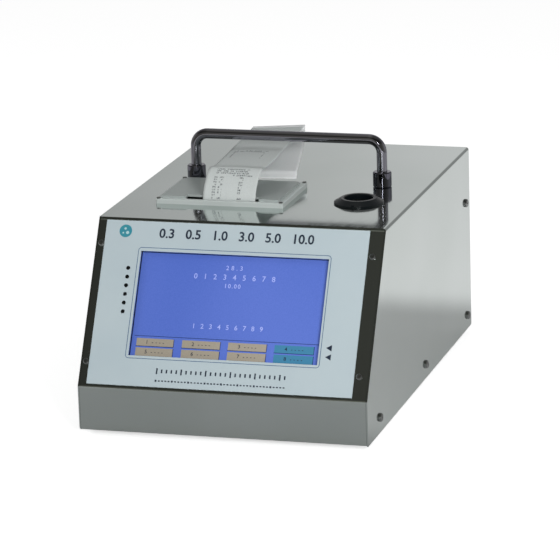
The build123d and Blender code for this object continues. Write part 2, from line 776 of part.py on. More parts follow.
# Printed strip: out of the slot, back under the handle, folded, and forward again with a skew
strip_back_y = bay_front_y + head_depth + paper_sheet
strip_rise = [
    (0.0, 3.0),
    (1.65, 14.5),
    (11.15, 20.5),
    (21.15, 23.4),
    (35.15, 25.2),
    (60.15, 26.6),
    (95.75, 29.0),
    (147.15, 33.3),
]
strip_ends = [(0, 1), (51.4, 4.3)]
strip_up = [(strip_back_y, platen_z + 7.5)] + [(strip_back_y + y, top_z + z) for y, z in strip_rise]
strip_low = (strip_back_y, platen_z - 6.0)
strip_skew = 10.5
strip_return = [
    (0.0, 32.5),
    (28.0, 19.6),
    (56.0, 10.5),
    (84.0, 7.2),
]


# Offsets a run of points sideways by one paper sheet
def sheet_outline(points):
    shifted = []
    for i, (y, z) in enumerate(points):
        before = points[max(i - 1, 0)]
        after = points[min(i + 1, len(points) - 1)]
        dy = after[0] - before[0]
        dz = after[1] - before[1]
        run = sqrt(dy * dy + dz * dz)
        shifted.append((y - paper_sheet * dz / run, z + paper_sheet * dy / run))
    return shifted


with BuildPart() as printed_strip:
    with BuildSketch(Plane(origin=(paper_x, 0, 0), x_dir=(0, 1, 0), z_dir=(1, 0, 0))):
        with BuildLine():
            Spline(*strip_up, tangents=strip_ends)
            Spline(*sheet_outline(strip_up), tangents=strip_ends)
            Line(strip_low, strip_up[0])
            Line(strip_low, (strip_low[0] - paper_sheet, strip_low[1]))
            Line((strip_low[0] - paper_sheet, strip_low[1]), sheet_outline(strip_up)[0])
            Line(strip_up[-1], sheet_outline(strip_up)[-1])
        make_face()
    extrude(amount=paper_width / 2, both=True)
    fold = Plane(
        origin=(paper_x, strip_up[-1][0], top_z),
        x_dir=(sin(radians(strip_skew)), -cos(radians(strip_skew)), 0),
        z_dir=(-cos(radians(strip_skew)), -sin(radians(strip_skew)), 0),
    )
    with BuildSketch(fold):
        with BuildLine():
            Spline(*strip_return)
            Spline(*sheet_outline(strip_return))
            Line(strip_return[0], sheet_outline(strip_return)[0])
            Line(strip_return[-1], sheet_outline(strip_return)[-1])
        make_face()
    extrude(amount=paper_width / 2, both=True)
printed_strip.part.label = "printed_strip"
export_step(printed_strip.part, "parts/printed_strip.step")

# Sample inlet: bevelled ring, well and nozzle
well_floor_z = top_z - well_depth
nozzle_low_z = well_floor_z - nozzle_shank_length
with BuildPart() as inlet_ring:
    with BuildSketch(Plane(origin=(inlet_x, inlet_y, top_z), x_dir=(1, 0, 0), z_dir=(0, -1, 0))):
        with BuildLine():
            Polyline(
                (ring_bore, 0),
                (ring_radius, 0),
                (ring_radius, 1.2),
                (ring_radius - 5.5, ring_height),
                (ring_bore + 0.8, ring_height),
                (ring_bore, ring_height - 0.8),
                close=True,
            )
        make_face()
    revolve(axis=Axis((inlet_x, inlet_y, top_z), (0, 0, 1)))
    with Locations((inlet_x, inlet_y - ring_radius, top_z + 1.2)):
        Box(2.4, 3.0, 4.0, align=(Align.CENTER, Align.CENTER, Align.MIN), mode=Mode.SUBTRACT)
inlet_ring.part.label = "inlet_ring"
export_step(inlet_ring.part, "parts/inlet_ring.step")

with BuildPart() as inlet_well:
    with BuildSketch(Plane.XY.offset(top_z)):
        with Locations((inlet_x, inlet_y)):
            Circle(ring_bore + well_wall)
    extrude(amount=-well_depth - well_wall)
    with BuildSketch(Plane.XY.offset(top_z)):
        with Locations((inlet_x, inlet_y)):
            Circle(ring_bore)
    extrude(amount=-well_depth, mode=Mode.SUBTRACT)
    with BuildSketch(Plane.XY.offset(top_z)):
        with Locations((inlet_x, inlet_y)):
            Circle(nozzle_shank_radius)
    extrude(amount=-well_depth - well_wall, mode=Mode.SUBTRACT)
inlet_well.part.label = "inlet_well"
export_step(inlet_well.part, "parts/inlet_well.step")

with BuildPart() as sample_nozzle:
    with BuildSketch(Plane.XY.offset(well_floor_z)):
        with Locations((inlet_x, inlet_y)):
            Circle(nozzle_radius)
    extrude(amount=well_depth - nozzle_top)
    chamfer(sample_nozzle.faces().sort_by(Axis.Z)[-1].edges(), 0.4)
    with BuildSketch(Plane.XY.offset(nozzle_low_z)):
        with Locations((inlet_x, inlet_y)):
            Circle(nozzle_shank_radius)
    extrude(amount=nozzle_shank_length)
    with BuildSketch(Plane.XY.offset(nozzle_low_z)):
        with Locations((inlet_x, inlet_y)):
            Circle(nozzle_bore)
    extrude(amount=top_z - nozzle_low_z, mode=Mode.SUBTRACT)
sample_nozzle.part.label = "sample_nozzle"
export_step(sample_nozzle.part, "parts/sample_nozzle.step")


# Optical sensor block with its flow passage and beam passage
sensor_rear_y = inlet_y + sensor_depth / 2
sensor_front_y = inlet_y - sensor_depth / 2
sensor_low_z = sensor_top_z - sensor_height
beam_z = sensor_top_z - 15.0
outlet_z = sensor_top_z - outlet_drop
laser_radius = 8.0
laser_length = 34.0
trap_length = 10.0
with BuildPart() as sensor_block:
    with Locations((inlet_x, inlet_y, sensor_top_z)):
        Box(sensor_width, sensor_depth, sensor_height, align=(Align.CENTER, Align.CENTER, Align.MAX))
    chamfer(sensor_block.edges().filter_by(Axis.Z), 2)
    with BuildSketch(Plane.XY.offset(sensor_top_z)):
        with Locations((inlet_x, inlet_y)):
            Circle(nozzle_shank_radius)
    extrude(amount=8)
    with BuildSketch(Plane(origin=(inlet_x, sensor_rear_y, outlet_z), x_dir=(1, 0, 0), z_dir=(0, -1, 0))):
        Circle(spigot_radius)
    extrude(amount=-10)
    with BuildSketch(Plane.XY.offset(sensor_top_z + 8)):
        with Locations((inlet_x, inlet_y)):
            Circle(nozzle_bore)
    extrude(amount=-8 - outlet_drop, mode=Mode.SUBTRACT)
    with BuildSketch(Plane(origin=(inlet_x, sensor_rear_y + 10, outlet_z), x_dir=(1, 0, 0), z_dir=(0, -1, 0))):
        Circle(spigot_radius - 2)
    extrude(amount=10 + sensor_depth / 2, mode=Mode.SUBTRACT)
    with BuildSketch(Plane(origin=(inlet_x, sensor_front_y, beam_z), x_dir=(1, 0, 0), z_dir=(0, -1, 0))):
        Circle(laser_radius / 2)
    extrude(amount=-sensor_depth, mode=Mode.SUBTRACT)
sensor_block.part.label = "sensor_block"
export_step(sensor_block.part, "parts/sensor_block.step")

with BuildPart() as laser_module:
    with BuildSketch(Plane(origin=(inlet_x, sensor_front_y, beam_z), x_dir=(1, 0, 0), z_dir=(0, -1, 0))):
        Circle(laser_radius)
    extrude(amount=laser_length)
    with BuildSketch(Plane(origin=(inlet_x, sensor_front_y, beam_z), x_dir=(1, 0, 0), z_dir=(0, -1, 0))):
        Rectangle(26, 24)
    extrude(amount=3)
    with BuildSketch(Plane(origin=(inlet_x, sensor_front_y, beam_z), x_dir=(1, 0, 0), z_dir=(0, -1, 0))):
        Circle(laser_radius / 2)
    extrude(amount=-4)
laser_module.part.label = "laser_module"
export_step(laser_module.part, "parts/laser_module.step")

with BuildPart() as light_trap:
    with BuildSketch(Plane(origin=(inlet_x, sensor_rear_y, beam_z), x_dir=(1, 0, 0), z_dir=(0, -1, 0))):
        Circle(laser_radius)
    extrude(amount=-trap_length)
    with BuildSketch(Plane(origin=(inlet_x, sensor_rear_y, beam_z), x_dir=(1, 0, 0), z_dir=(0, -1, 0))):
        Circle(laser_radius / 2)
    extrude(amount=-trap_length + 2, mode=Mode.SUBTRACT)
light_trap.part.label = "light_trap"
export_step(light_trap.part, "parts/light_trap.step")

with BuildPart() as detector_board:
    with Locations((inlet_x - sensor_width / 2, inlet_y, beam_z)):
        Box(1.6, 44, 26, align=(Align.MAX, Align.CENTER, Align.CENTER))
    with Locations((inlet_x - sensor_width / 2 - 1.6, inlet_y, beam_z)):
        Box(7.0, 22, 20, align=(Align.MAX, Align.CENTER, Align.CENTER))
detector_board.part.label = "detector_board"
export_step(detector_board.part, "parts/detector_board.step")

with BuildPart() as sensor_bracket:
    with BuildSketch(Plane(origin=(0, inlet_y, 0), x_dir=(1, 0, 0), z_dir=(0, -1, 0))):
        for side in (-1, 1):
            with Locations((inlet_x + side * sensor_width / 2, floor_z)):
                Rectangle(
                    bracket_foot,
                    bracket_sheet,
                    align=(Align.MAX if side < 0 else Align.MIN, Align.MIN),
                )
            with Locations((inlet_x + side * sensor_width / 2, floor_z)):
                Rectangle(
                    bracket_sheet,
                    sensor_low_z - floor_z,
                    align=(Align.MIN if side < 0 else Align.MAX, Align.MIN),
                )
        with Locations((inlet_x, sensor_low_z)):
            Rectangle(sensor_width, bracket_sheet, align=(Align.CENTER, Align.MAX))
    extrude(amount=sensor_depth / 2 - 2, both=True)
    with BuildSketch(Plane.XY.offset(floor_z)):
        with Locations(*bracket_points):
            Circle(rear_screw_radius)
    extrude(amount=bracket_sheet, mode=Mode.SUBTRACT)
sensor_bracket.part.label = "sensor_bracket"
export_step(sensor_bracket.part, "parts/sensor_bracket.step")

# Blower standing upright behind the sensor
blower_rear_y = blower_y + blower_depth
spigot_length = 12.0
outlet_rise = blower_radius - 14.0
outlet_left = exhaust_x + 14.0
with BuildPart() as blower_housing:
    with BuildSketch(Plane(origin=(inlet_x, blower_y, blower_z), x_dir=(1, 0, 0), z_dir=(0, -1, 0))):
        Circle(blower_radius)
        with Locations((0, floor_z - blower_z)):
            Rectangle(40, 24, align=(Align.CENTER, Align.MIN))
    extrude(amount=-blower_depth)
    with BuildSketch(Plane(origin=(outlet_left, blower_y + blower_depth / 2, blower_z + outlet_rise), z_dir=(1, 0, 0))):
        Circle(exhaust_radius + 2)
    extrude(amount=blower_radius)
    with BuildSketch(Plane(origin=(inlet_x, blower_y, blower_z), x_dir=(1, 0, 0), z_dir=(0, -1, 0))):
        Circle(blower_radius - blower_wall)
    extrude(amount=-blower_depth + blower_wall, mode=Mode.SUBTRACT)
    with BuildSketch(Plane(origin=(outlet_left, blower_y + blower_depth / 2, blower_z + outlet_rise), z_dir=(1, 0, 0))):
        Circle(exhaust_radius)
    extrude(amount=blower_radius, mode=Mode.SUBTRACT)
    with BuildSketch(Plane(origin=(inlet_x, blower_y, blower_z), x_dir=(1, 0, 0), z_dir=(0, -1, 0))):
        Circle(2 * axle_radius)
    extrude(amount=-blower_depth, mode=Mode.SUBTRACT)
blower_housing.part.label = "blower_housing"
export_step(blower_housing.part, "parts/blower_housing.step")

with BuildPart() as blower_cover:
    with BuildSketch(Plane(origin=(inlet_x, blower_y, blower_z), x_dir=(1, 0, 0), z_dir=(0, -1, 0))):
        Circle(blower_radius)
    extrude(amount=blower_wall)
    with BuildSketch(Plane(origin=(inlet_x, blower_y - blower_wall, blower_z), x_dir=(1, 0, 0), z_dir=(0, -1, 0))):
        Circle(spigot_radius)
    extrude(amount=spigot_length)
    with BuildSketch(Plane(origin=(inlet_x, blower_y, blower_z), x_dir=(1, 0, 0), z_dir=(0, -1, 0))):
        Circle(spigot_radius - 1.5)
    extrude(amount=blower_wall + spigot_length, mode=Mode.SUBTRACT)
blower_cover.part.label = "blower_cover"
export_step(blower_cover.part, "parts/blower_cover.step")

blower_motor_radius = 18.0
blower_motor_length = 30.0
with BuildPart() as blower_motor:
    with BuildSketch(Plane(origin=(inlet_x, blower_rear_y, blower_z), x_dir=(1, 0, 0), z_dir=(0, -1, 0))):
        Circle(blower_motor_radius)
    extrude(amount=-blower_motor_length)
    with BuildSketch(Plane(origin=(inlet_x, blower_rear_y, blower_z), x_dir=(1, 0, 0), z_dir=(0, -1, 0))):
        Circle(axle_radius + running_clearance)
    extrude(amount=-blower_motor_length + 4, mode=Mode.SUBTRACT)
blower_motor.part.label = "blower_motor"
export_step(blower_motor.part, "parts/blower_motor.step")

impeller_radius = 32.0
impeller_vanes = 9
with BuildPart() as blower_impeller:
    with BuildSketch(Plane(origin=(inlet_x, blower_y + 5, blower_z), x_dir=(1, 0, 0), z_dir=(0, -1, 0))):
        Circle(axle_radius)
    extrude(amount=-blower_depth + 5 - blower_motor_length + 6)
    with BuildSketch(Plane(origin=(inlet_x, blower_y + 5, blower_z), x_dir=(1, 0, 0), z_dir=(0, -1, 0))):
        Circle(5.0)
    extrude(amount=-18)
    with BuildSketch(Plane(origin=(inlet_x, blower_y + 21, blower_z), x_dir=(1, 0, 0), z_dir=(0, -1, 0))):
        Circle(impeller_radius)
    extrude(amount=-2)
    with BuildSketch(Plane(origin=(inlet_x, blower_y + 5, blower_z), x_dir=(1, 0, 0), z_dir=(0, -1, 0))):
        with PolarLocations(impeller_radius - 8, impeller_vanes):
            Rectangle(14, 1.6, rotation=35)
    extrude(amount=-16)
blower_impeller.part.label = "blower_impeller"
export_step(blower_impeller.part, "parts/blower_impeller.step")

with BuildPart() as sample_hoses:
    with BuildSketch(Plane.XY.offset(sensor_top_z)):
        with Locations((inlet_x, inlet_y)):
            Circle(nozzle_shank_radius + hose_wall)
            Circle(nozzle_shank_radius, mode=Mode.SUBTRACT)
    extrude(amount=well_floor_z - well_wall - 2 - sensor_top_z)
    with BuildSketch(Plane(origin=(inlet_x, sensor_rear_y, outlet_z), x_dir=(1, 0, 0), z_dir=(0, -1, 0))):
        Circle(spigot_radius + hose_wall)
        Circle(spigot_radius, mode=Mode.SUBTRACT)
    extrude(amount=sensor_rear_y - blower_y + blower_wall)
sample_hoses.part.label = "sample_hoses"
export_step(sample_hoses.part, "parts/sample_hoses.step")

# Exhaust: elbow, filter canister and rear nozzle
elbow_y = blower_y + blower_depth / 2
filter_front_y = panel_face_y - filter_length - 6.0
elbow_bend = 12.0
with BuildPart() as exhaust_elbow:
    with BuildLine(Plane.XY.offset(exhaust_z)) as elbow_path:
        Polyline((outlet_left, elbow_y), (exhaust_x, elbow_y), (exhaust_x, filter_front_y))
        fillet(elbow_path.vertices().filter_by(lambda v: abs(v.X - exhaust_x) + abs(v.Y - elbow_y) < 0.01), elbow_bend)
    with BuildSketch(Plane(origin=(outlet_left, elbow_y, exhaust_z), z_dir=(-1, 0, 0))):
        Circle(exhaust_radius + 2)
        Circle(exhaust_radius, mode=Mode.SUBTRACT)
    sweep(path=elbow_path.wires()[0])
exhaust_elbow.part.label = "exhaust_elbow"
export_step(exhaust_elbow.part, "parts/exhaust_elbow.step")

with BuildPart() as exhaust_filter:
    with BuildSketch(Plane(origin=(exhaust_x, filter_front_y, exhaust_z), z_dir=(0, 1, 0))):
        Circle(filter_radius)
    extrude(amount=filter_length)
    chamfer(exhaust_filter.edges().filter_by(GeomType.CIRCLE), 3)
    with BuildSketch(Plane(origin=(exhaust_x, filter_front_y, exhaust_z), z_dir=(0, 1, 0))):
        Circle(exhaust_radius)
    extrude(amount=filter_length, mode=Mode.SUBTRACT)
exhaust_filter.part.label = "exhaust_filter"
export_step(exhaust_filter.part, "parts/exhaust_filter.step")

nozzle_collar = 2.0
with BuildPart() as exhaust_nozzle:
    with BuildSketch(Plane(origin=(exhaust_x, filter_front_y + filter_length, exhaust_z), z_dir=(0, 1, 0))):
        Circle(exhaust_radius)
    extrude(amount=rear_y + rear_reach - filter_front_y - filter_length)
    chamfer(exhaust_nozzle.faces().sort_by(Axis.Y)[-1].edges(), 0.6)
    with BuildSketch(Plane(origin=(exhaust_x, rear_y, exhaust_z), z_dir=(0, 1, 0))):
        RegularPolygon(10.0, 6)
    extrude(amount=nozzle_collar)
    with BuildSketch(Plane(origin=(exhaust_x, filter_front_y + filter_length, exhaust_z), z_dir=(0, 1, 0))):
        Circle(exhaust_bore)
    extrude(amount=rear_y + rear_reach - filter_front_y - filter_length, mode=Mode.SUBTRACT)
exhaust_nozzle.part.label = "exhaust_nozzle"
export_step(exhaust_nozzle.part, "parts/exhaust_nozzle.step")

# Rear panel
rear_flange = 14.0
socket_width = 27.0
socket_height = 20.0
socket_screw_pitch = 40.0
switch_width = 19.0
switch_height = 13.0
serial_pitch = 25.0
fan_pitch = 32.0
fan_hole_radius = 1.6
vent_reach = 17.5
vent_slot = 2.6
vent_pitch = 4.8
vent_rows = [(j * vent_pitch, 2 * sqrt(vent_reach**2 - (j * vent_pitch) ** 2)) for j in range(-3, 4)]
fan_screw_points = [(fan_x + i * fan_pitch / 2, fan_z + j * fan_pitch / 2) for i in (-1, 1) for j in (-1, 1)]
socket_screw_points = [(socket_x + i * socket_screw_pitch / 2, socket_z) for i in (-1, 1)]
jack_points = [(serial_x + i * serial_pitch / 2, serial_z) for i in (-1, 1)]
rear_face = Plane(origin=(0, rear_y, 0), x_dir=(1, 0, 0), z_dir=(0, -1, 0))
with BuildPart() as rear_panel:
    with BuildSketch(rear_face):
        with Locations((0, (floor_z + ceiling_z) / 2)):
            Rectangle(2 * inner_x - 2 * side_seam, ceiling_z - floor_z)
    extrude(amount=chassis_sheet)
    for side in (-1, 1):
        with Locations((side * inner_x, panel_face_y, floor_z + side_flange_height + 3)):
            Box(
                chassis_sheet,
                rear_flange,
                ceiling_z - floor_z - side_flange_height - 12,
                align=(Align.MAX if side > 0 else Align.MIN, Align.MAX, Align.MIN),
            )
    with Locations((0, panel_face_y, floor_z)):
        Box(2 * inner_x - 42, rear_flange, chassis_sheet, align=(Align.CENTER, Align.MAX, Align.MIN))
    with BuildSketch(rear_face):
        with Locations((socket_x, socket_z)):
            Rectangle(socket_width, socket_height)
        with Locations(*socket_screw_points):
            Circle(rear_screw_radius)
        with Locations((switch_x, switch_z)):
            Rectangle(switch_width, switch_height)
        with Locations((serial_x, serial_z)):
            Rectangle(19.0, 10.5)
        with Locations(*jack_points):
            Circle(rear_screw_radius)
        with Locations((exhaust_x, exhaust_z)):
            Circle(exhaust_radius)
        for drop, length in vent_rows:
            with Locations((fan_x, fan_z + drop)):
                SlotOverall(length, vent_slot)
        with Locations(*fan_screw_points):
            Circle(fan_hole_radius)
    extrude(amount=chassis_sheet, mode=Mode.SUBTRACT)
    with BuildSketch(right_side):
        with Locations(right_points[0]):
            Circle(side_screw_radius)
    extrude(amount=-chassis_sheet, mode=Mode.SUBTRACT)
    with BuildSketch(left_side):
        with Locations(left_points[0]):
            Circle(side_screw_radius)
    extrude(amount=-chassis_sheet, mode=Mode.SUBTRACT)
    with BuildSketch(Plane.XY.offset(floor_z)):
        with Locations(*rear_screw_points):
            Circle(rear_screw_radius)
    extrude(amount=chassis_sheet, mode=Mode.SUBTRACT)
rear_panel.part.label = "rear_panel"
export_step(rear_panel.part, "parts/rear_panel.step")


with BuildPart() as underside_screws:
    with BuildSketch(Plane.XY.offset(foot_recess)):
        with Locations(*foot_points):
            Circle(foot_head_radius)
    extrude(amount=-1.8)
    with BuildSketch(Plane.XY.offset(foot_recess)):
        with Locations(*foot_points):
            Circle(foot_screw_radius)
    extrude(amount=floor_z - foot_recess)
    with BuildSketch(Plane.XY.offset(bottom_z)):
        with Locations(*rear_screw_points):
            Circle(2.75)
    extrude(amount=-2.0)
    with BuildSketch(Plane.XY.offset(bottom_z)):
        with Locations(*rear_screw_points):
            Circle(rear_screw_radius)
    extrude(amount=chassis_sheet + chassis_sheet + 3)
underside_screws.part.label = "underside_screws"
export_step(underside_screws.part, "parts/underside_screws.step")

# Power inlet: C14 socket with three blades
socket_depth = 16.0
socket_tail = 3.0
socket_mouth_width = 24.0
socket_mouth_height = 16.0
socket_corners = [(-socket_mouth_width / 2, -socket_mouth_height / 2), (socket_mouth_width / 2, socket_mouth_height / 2)]
socket_flange = 2.5
blade_pitch = 7.0
blade_width = 2.0
blade_height = 4.0
blade_length = 13.0
blade_offset = 2.0
socket_plane = Plane(origin=(socket_x, rear_y, socket_z), x_dir=(1, 0, 0), z_dir=(0, -1, 0))
with BuildPart() as power_inlet:
    with BuildSketch(socket_plane):
        Rectangle(50.0, 22.5)
        fillet(vertices(), 3)
    extrude(amount=-socket_flange)
    with BuildSketch(socket_plane):
        Rectangle(socket_width, socket_height)
    extrude(amount=socket_depth + socket_tail)
    with BuildSketch(socket_plane.offset(-socket_flange)):
        Rectangle(socket_mouth_width, socket_mouth_height)
        chamfer(corners_at(vertices(), socket_corners), 4.5)
    extrude(amount=socket_depth, mode=Mode.SUBTRACT)
    with BuildSketch(socket_plane.offset(-socket_flange)):
        with Locations((-socket_screw_pitch / 2, 0), (socket_screw_pitch / 2, 0)):
            Circle(rear_screw_radius)
    extrude(amount=socket_flange, mode=Mode.SUBTRACT)
    with BuildSketch(socket_plane.offset(socket_depth - socket_flange)):
        with Locations((-blade_pitch, -blade_offset), (blade_pitch, -blade_offset), (0, blade_offset)):
            Rectangle(blade_width, blade_height)
    extrude(amount=10, mode=Mode.SUBTRACT)
power_inlet.part.label = "power_inlet"
export_step(power_inlet.part, "parts/power_inlet.step")

with BuildPart() as inlet_blades:
    with BuildSketch(socket_plane.offset(socket_depth - socket_flange + 12)):
        with Locations((-blade_pitch, -blade_offset), (blade_pitch, -blade_offset), (0, blade_offset)):
            Rectangle(blade_width, blade_height)
    extrude(amount=-12 - blade_length)
    chamfer(inlet_blades.faces().sort_by(Axis.Y)[-3:].edges().filter_by(Axis.Z), 0.5)
inlet_blades.part.label = "inlet_blades"
export_step(inlet_blades.part, "parts/inlet_blades.step")


# Rocker switch
switch_plane = Plane(origin=(switch_x, rear_y, switch_z), x_dir=(1, 0, 0), z_dir=(0, -1, 0))
switch_flange = 2.0
rocker_width = 14.0
rocker_height = 9.0
rocker_drop = 4.5
rocker_dish = 1.2
rocker_swing = 16.0
rocker_pin_radius = 0.9
rocker_axis_y = rear_y - 1.0
rocker_side = Plane(origin=(switch_x, rocker_axis_y, switch_z), x_dir=(0, 1, 0), z_dir=(1, 0, 0))
with BuildPart() as switch_body:
    with BuildSketch(switch_plane):
        Rectangle(23.0, 16.5)
        fillet(vertices(), 1)
    extrude(amount=-switch_flange)
    with BuildSketch(switch_plane):
        Rectangle(switch_width, switch_height)
    extrude(amount=16)
    with BuildSketch(switch_plane.offset(-switch_flange)):
        Rectangle(rocker_width + 0.6, rocker_height + 3.0)
    extrude(amount=10, mode=Mode.SUBTRACT)
    with BuildSketch(rocker_side):
        Circle(rocker_pin_radius)
    extrude(amount=rocker_width / 2 + 0.3, both=True)
switch_body.part.label = "switch_body"
export_step(switch_body.part, "parts/switch_body.step")

rocker_face = 3.2
with BuildPart() as switch_rocker:
    with BuildSketch(rocker_side):
        with BuildLine():
            Polyline(
                (rocker_face, -rocker_height / 2 - 0.5),
                (rocker_face - rocker_dish, 0),
                (rocker_face, rocker_height / 2 + 0.5),
                (-rocker_drop, rocker_height / 3),
                (-rocker_drop, -rocker_height / 3),
                close=True,
            )
        make_face()
        Circle(rocker_pin_radius + running_clearance, mode=Mode.SUBTRACT)
    extrude(amount=rocker_width / 2, both=True)
rest_rocker = switch_rocker.part.rotate(
    Axis((switch_x, rocker_axis_y, switch_z), (1, 0, 0)), -rocker_swing / 2
)
rest_rocker.label = "switch_rocker"
export_step(rest_rocker, "parts/switch_rocker.step")

# Serial port with nine contacts and two jack posts
serial_plane = Plane(origin=(serial_x, rear_y, serial_z), x_dir=(1, 0, 0), z_dir=(0, -1, 0))
shell_reach = 6.0
contact_pitch = 2.77
contact_row = 2.84
with BuildPart() as serial_port:
    with BuildSketch(serial_plane):
        Rectangle(31.0, 12.5)
        fillet(vertices(), 2)
        with Locations((-serial_pitch / 2, 0), (serial_pitch / 2, 0)):
            Circle(rear_screw_radius, mode=Mode.SUBTRACT)
    extrude(amount=-1.0)
    with BuildSketch(serial_plane.offset(-1.0)):
        Trapezoid(17.0, 8.4, 80, rotation=180)
        fillet(vertices(), 1.6)
    extrude(amount=1.0 - shell_reach)
    with BuildSketch(serial_plane):
        Rectangle(18.5, 10.0)
    extrude(amount=10.0)
    with BuildSketch(serial_plane.offset(-shell_reach)):
        for row, count in ((1, 5), (-1, 4)):
            with Locations((0, row * contact_row / 2)):
                with GridLocations(contact_pitch, 1, count, 1):
                    Circle(0.6)
    extrude(amount=5.0, mode=Mode.SUBTRACT)
serial_port.part.label = "serial_port"
export_step(serial_port.part, "parts/serial_port.step")

with BuildPart() as serial_jacks:
    with BuildSketch(serial_plane.offset(-1.0)):
        with Locations((-serial_pitch / 2, 0), (serial_pitch / 2, 0)):
            RegularPolygon(2.6, 6)
    extrude(amount=-5.0)
    with BuildSketch(serial_plane.offset(-1.0)):
        with Locations((-serial_pitch / 2, 0), (serial_pitch / 2, 0)):
            Circle(rear_screw_radius)
    extrude(amount=7.0)
    with BuildSketch(serial_plane.offset(-6.0)):
        with Locations((-serial_pitch / 2, 0), (serial_pitch / 2, 0)):
            Circle(1.2)
    extrude(amount=4.0, mode=Mode.SUBTRACT)
serial_jacks.part.label = "serial_jacks"
export_step(serial_jacks.part, "parts/serial_jacks.step")

# Cooling fan behind the vents
fan_bore = 18.6
hub_radius = 8.0
fan_plane = Plane(origin=(fan_x, panel_face_y, fan_z), x_dir=(1, 0, 0), z_dir=(0, -1, 0))
fan_blades = 7
with BuildPart() as fan_frame:
    with BuildSketch(fan_plane):
        Rectangle(fan_size, fan_size)
        fillet(vertices(), 3)
        Circle(fan_bore, mode=Mode.SUBTRACT)
        with GridLocations(fan_pitch, fan_pitch, 2, 2):
            Circle(fan_hole_radius, mode=Mode.SUBTRACT)
    extrude(amount=fan_depth)
    with BuildSketch(fan_plane.offset(fan_depth)):
        Circle(hub_radius)
        with Locations((fan_bore / 2, 0), (-fan_bore / 2, 0)):
            Rectangle(fan_bore + 1, 2.4)
        with Locations((0, fan_bore / 2)):
            Rectangle(2.4, fan_bore + 1)
    extrude(amount=-1.5)
    with BuildSketch(fan_plane.offset(fan_depth - 1.5)):
        Circle(axle_radius)
    extrude(amount=-6.5)
fan_frame.part.label = "fan_frame"
export_step(fan_frame.part, "parts/fan_frame.step")

with BuildPart() as fan_rotor:
    with BuildSketch(fan_plane.offset(0.8)):
        Circle(hub_radius)
    extrude(amount=fan_depth - 2.8)
    with PolarLocations(0, 1):
        with Locations(fan_plane.offset(fan_depth / 2 - 0.6)):
            with PolarLocations(hub_radius + 4.6, fan_blades):
                Box(10.8, 7.0, 0.9, rotation=(40, 0, 0))
    with BuildSketch(fan_plane.offset(fan_depth)):
        Circle(axle_radius + running_clearance)
    extrude(amount=-fan_depth + 1.6, mode=Mode.SUBTRACT)
fan_rotor.part.label = "fan_rotor"
export_step(fan_rotor.part, "parts/fan_rotor.step")


with BuildPart() as panel_screws:
    with BuildSketch(Plane(origin=(0, rear_y + socket_flange, 0), x_dir=(1, 0, 0), z_dir=(0, -1, 0))):
        with Locations(*socket_screw_points):
            Circle(2.75)
    extrude(amount=-1.6)
    chamfer(panel_screws.faces().sort_by(Axis.Y)[-2:].edges(), 0.6)
    with BuildSketch(Plane(origin=(0, rear_y + socket_flange, 0), x_dir=(1, 0, 0), z_dir=(0, -1, 0))):
        with Locations(*socket_screw_points):
            Circle(rear_screw_radius)
    extrude(amount=8)
    with BuildSketch(rear_outside):
        with Locations(*[(-x, z) for x, z in fan_screw_points]):
            Circle(2.9)
    extrude(amount=1.6)
    with BuildSketch(rear_outside):
        with Locations(*[(-x, z) for x, z in fan_screw_points]):
            Circle(fan_hole_radius)
    extrude(amount=-chassis_sheet - fan_depth)
panel_screws.part.label = "panel_screws"
export_step(panel_screws.part, "parts/panel_screws.step")

# Main board on spacers, with its parts
board_z = floor_z + spacer_height
with BuildPart() as main_board:
    with BuildSketch(Plane.XY.offset(board_z)):
        with Locations((board_x, board_y)):
            Rectangle(board_width, board_depth)
        fillet(vertices(), 3)
        with Locations(*spacer_points):
            Circle(fascia_screw_radius, mode=Mode.SUBTRACT)
    extrude(amount=board_sheet)
main_board.part.label = "main_board"
export_step(main_board.part, "parts/main_board.step")


with BuildPart() as board_parts:
    for x, y, width, depth, height in (
        (-10.0, 10.0, 22.0, 22.0, 2.0),
        (25.0, 12.0, 14.0, 20.0, 1.6),
        (-40.0, 30.0, 10.0, 34.0, 9.0),
        (36.0, -30.0, 16.0, 28.0, 11.0),
        (0.0, -42.0, 40.0, 6.0, 8.0),
        (-36.0, -20.0, 18.0, 18.0, 14.0),
    ):
        with Locations((board_x + x, board_y + y, board_z + board_sheet)):
            Box(width, depth, height, align=(Align.CENTER, Align.CENTER, Align.MIN))
    for x, y in ((8.0, -18.0), (-8.0, -18.0), (30.0, 38.0)):
        with Locations((board_x + x, board_y + y, board_z + board_sheet)):
            Cylinder(5.0, 12.0, align=(Align.CENTER, Align.CENTER, Align.MIN))
board_parts.part.label = "board_parts"
export_step(board_parts.part, "parts/board_parts.step")

# Power supply case with side louvres
supply_gap = 9.0
supply_width = 60.0
supply_depth = 100.0
supply_height = 38.0
supply_x = socket_x + 6.0
supply_y = rear_y - socket_depth - socket_tail - supply_gap - supply_depth / 2
with BuildPart() as power_supply:
    with Locations((supply_x, supply_y, floor_z)):
        Box(supply_width, supply_depth, supply_height, align=(Align.CENTER, Align.CENTER, Align.MIN))
    chamfer(power_supply.edges().filter_by(Axis.Y), 1.5)
    with Locations((supply_x, supply_y, floor_z + supply_height)):
        with GridLocations(1, 8.0, 1, 10):
            Box(supply_width - 16, 2.4, 3.0, mode=Mode.SUBTRACT)
power_supply.part.label = "power_supply"
export_step(power_supply.part, "parts/power_supply.step")

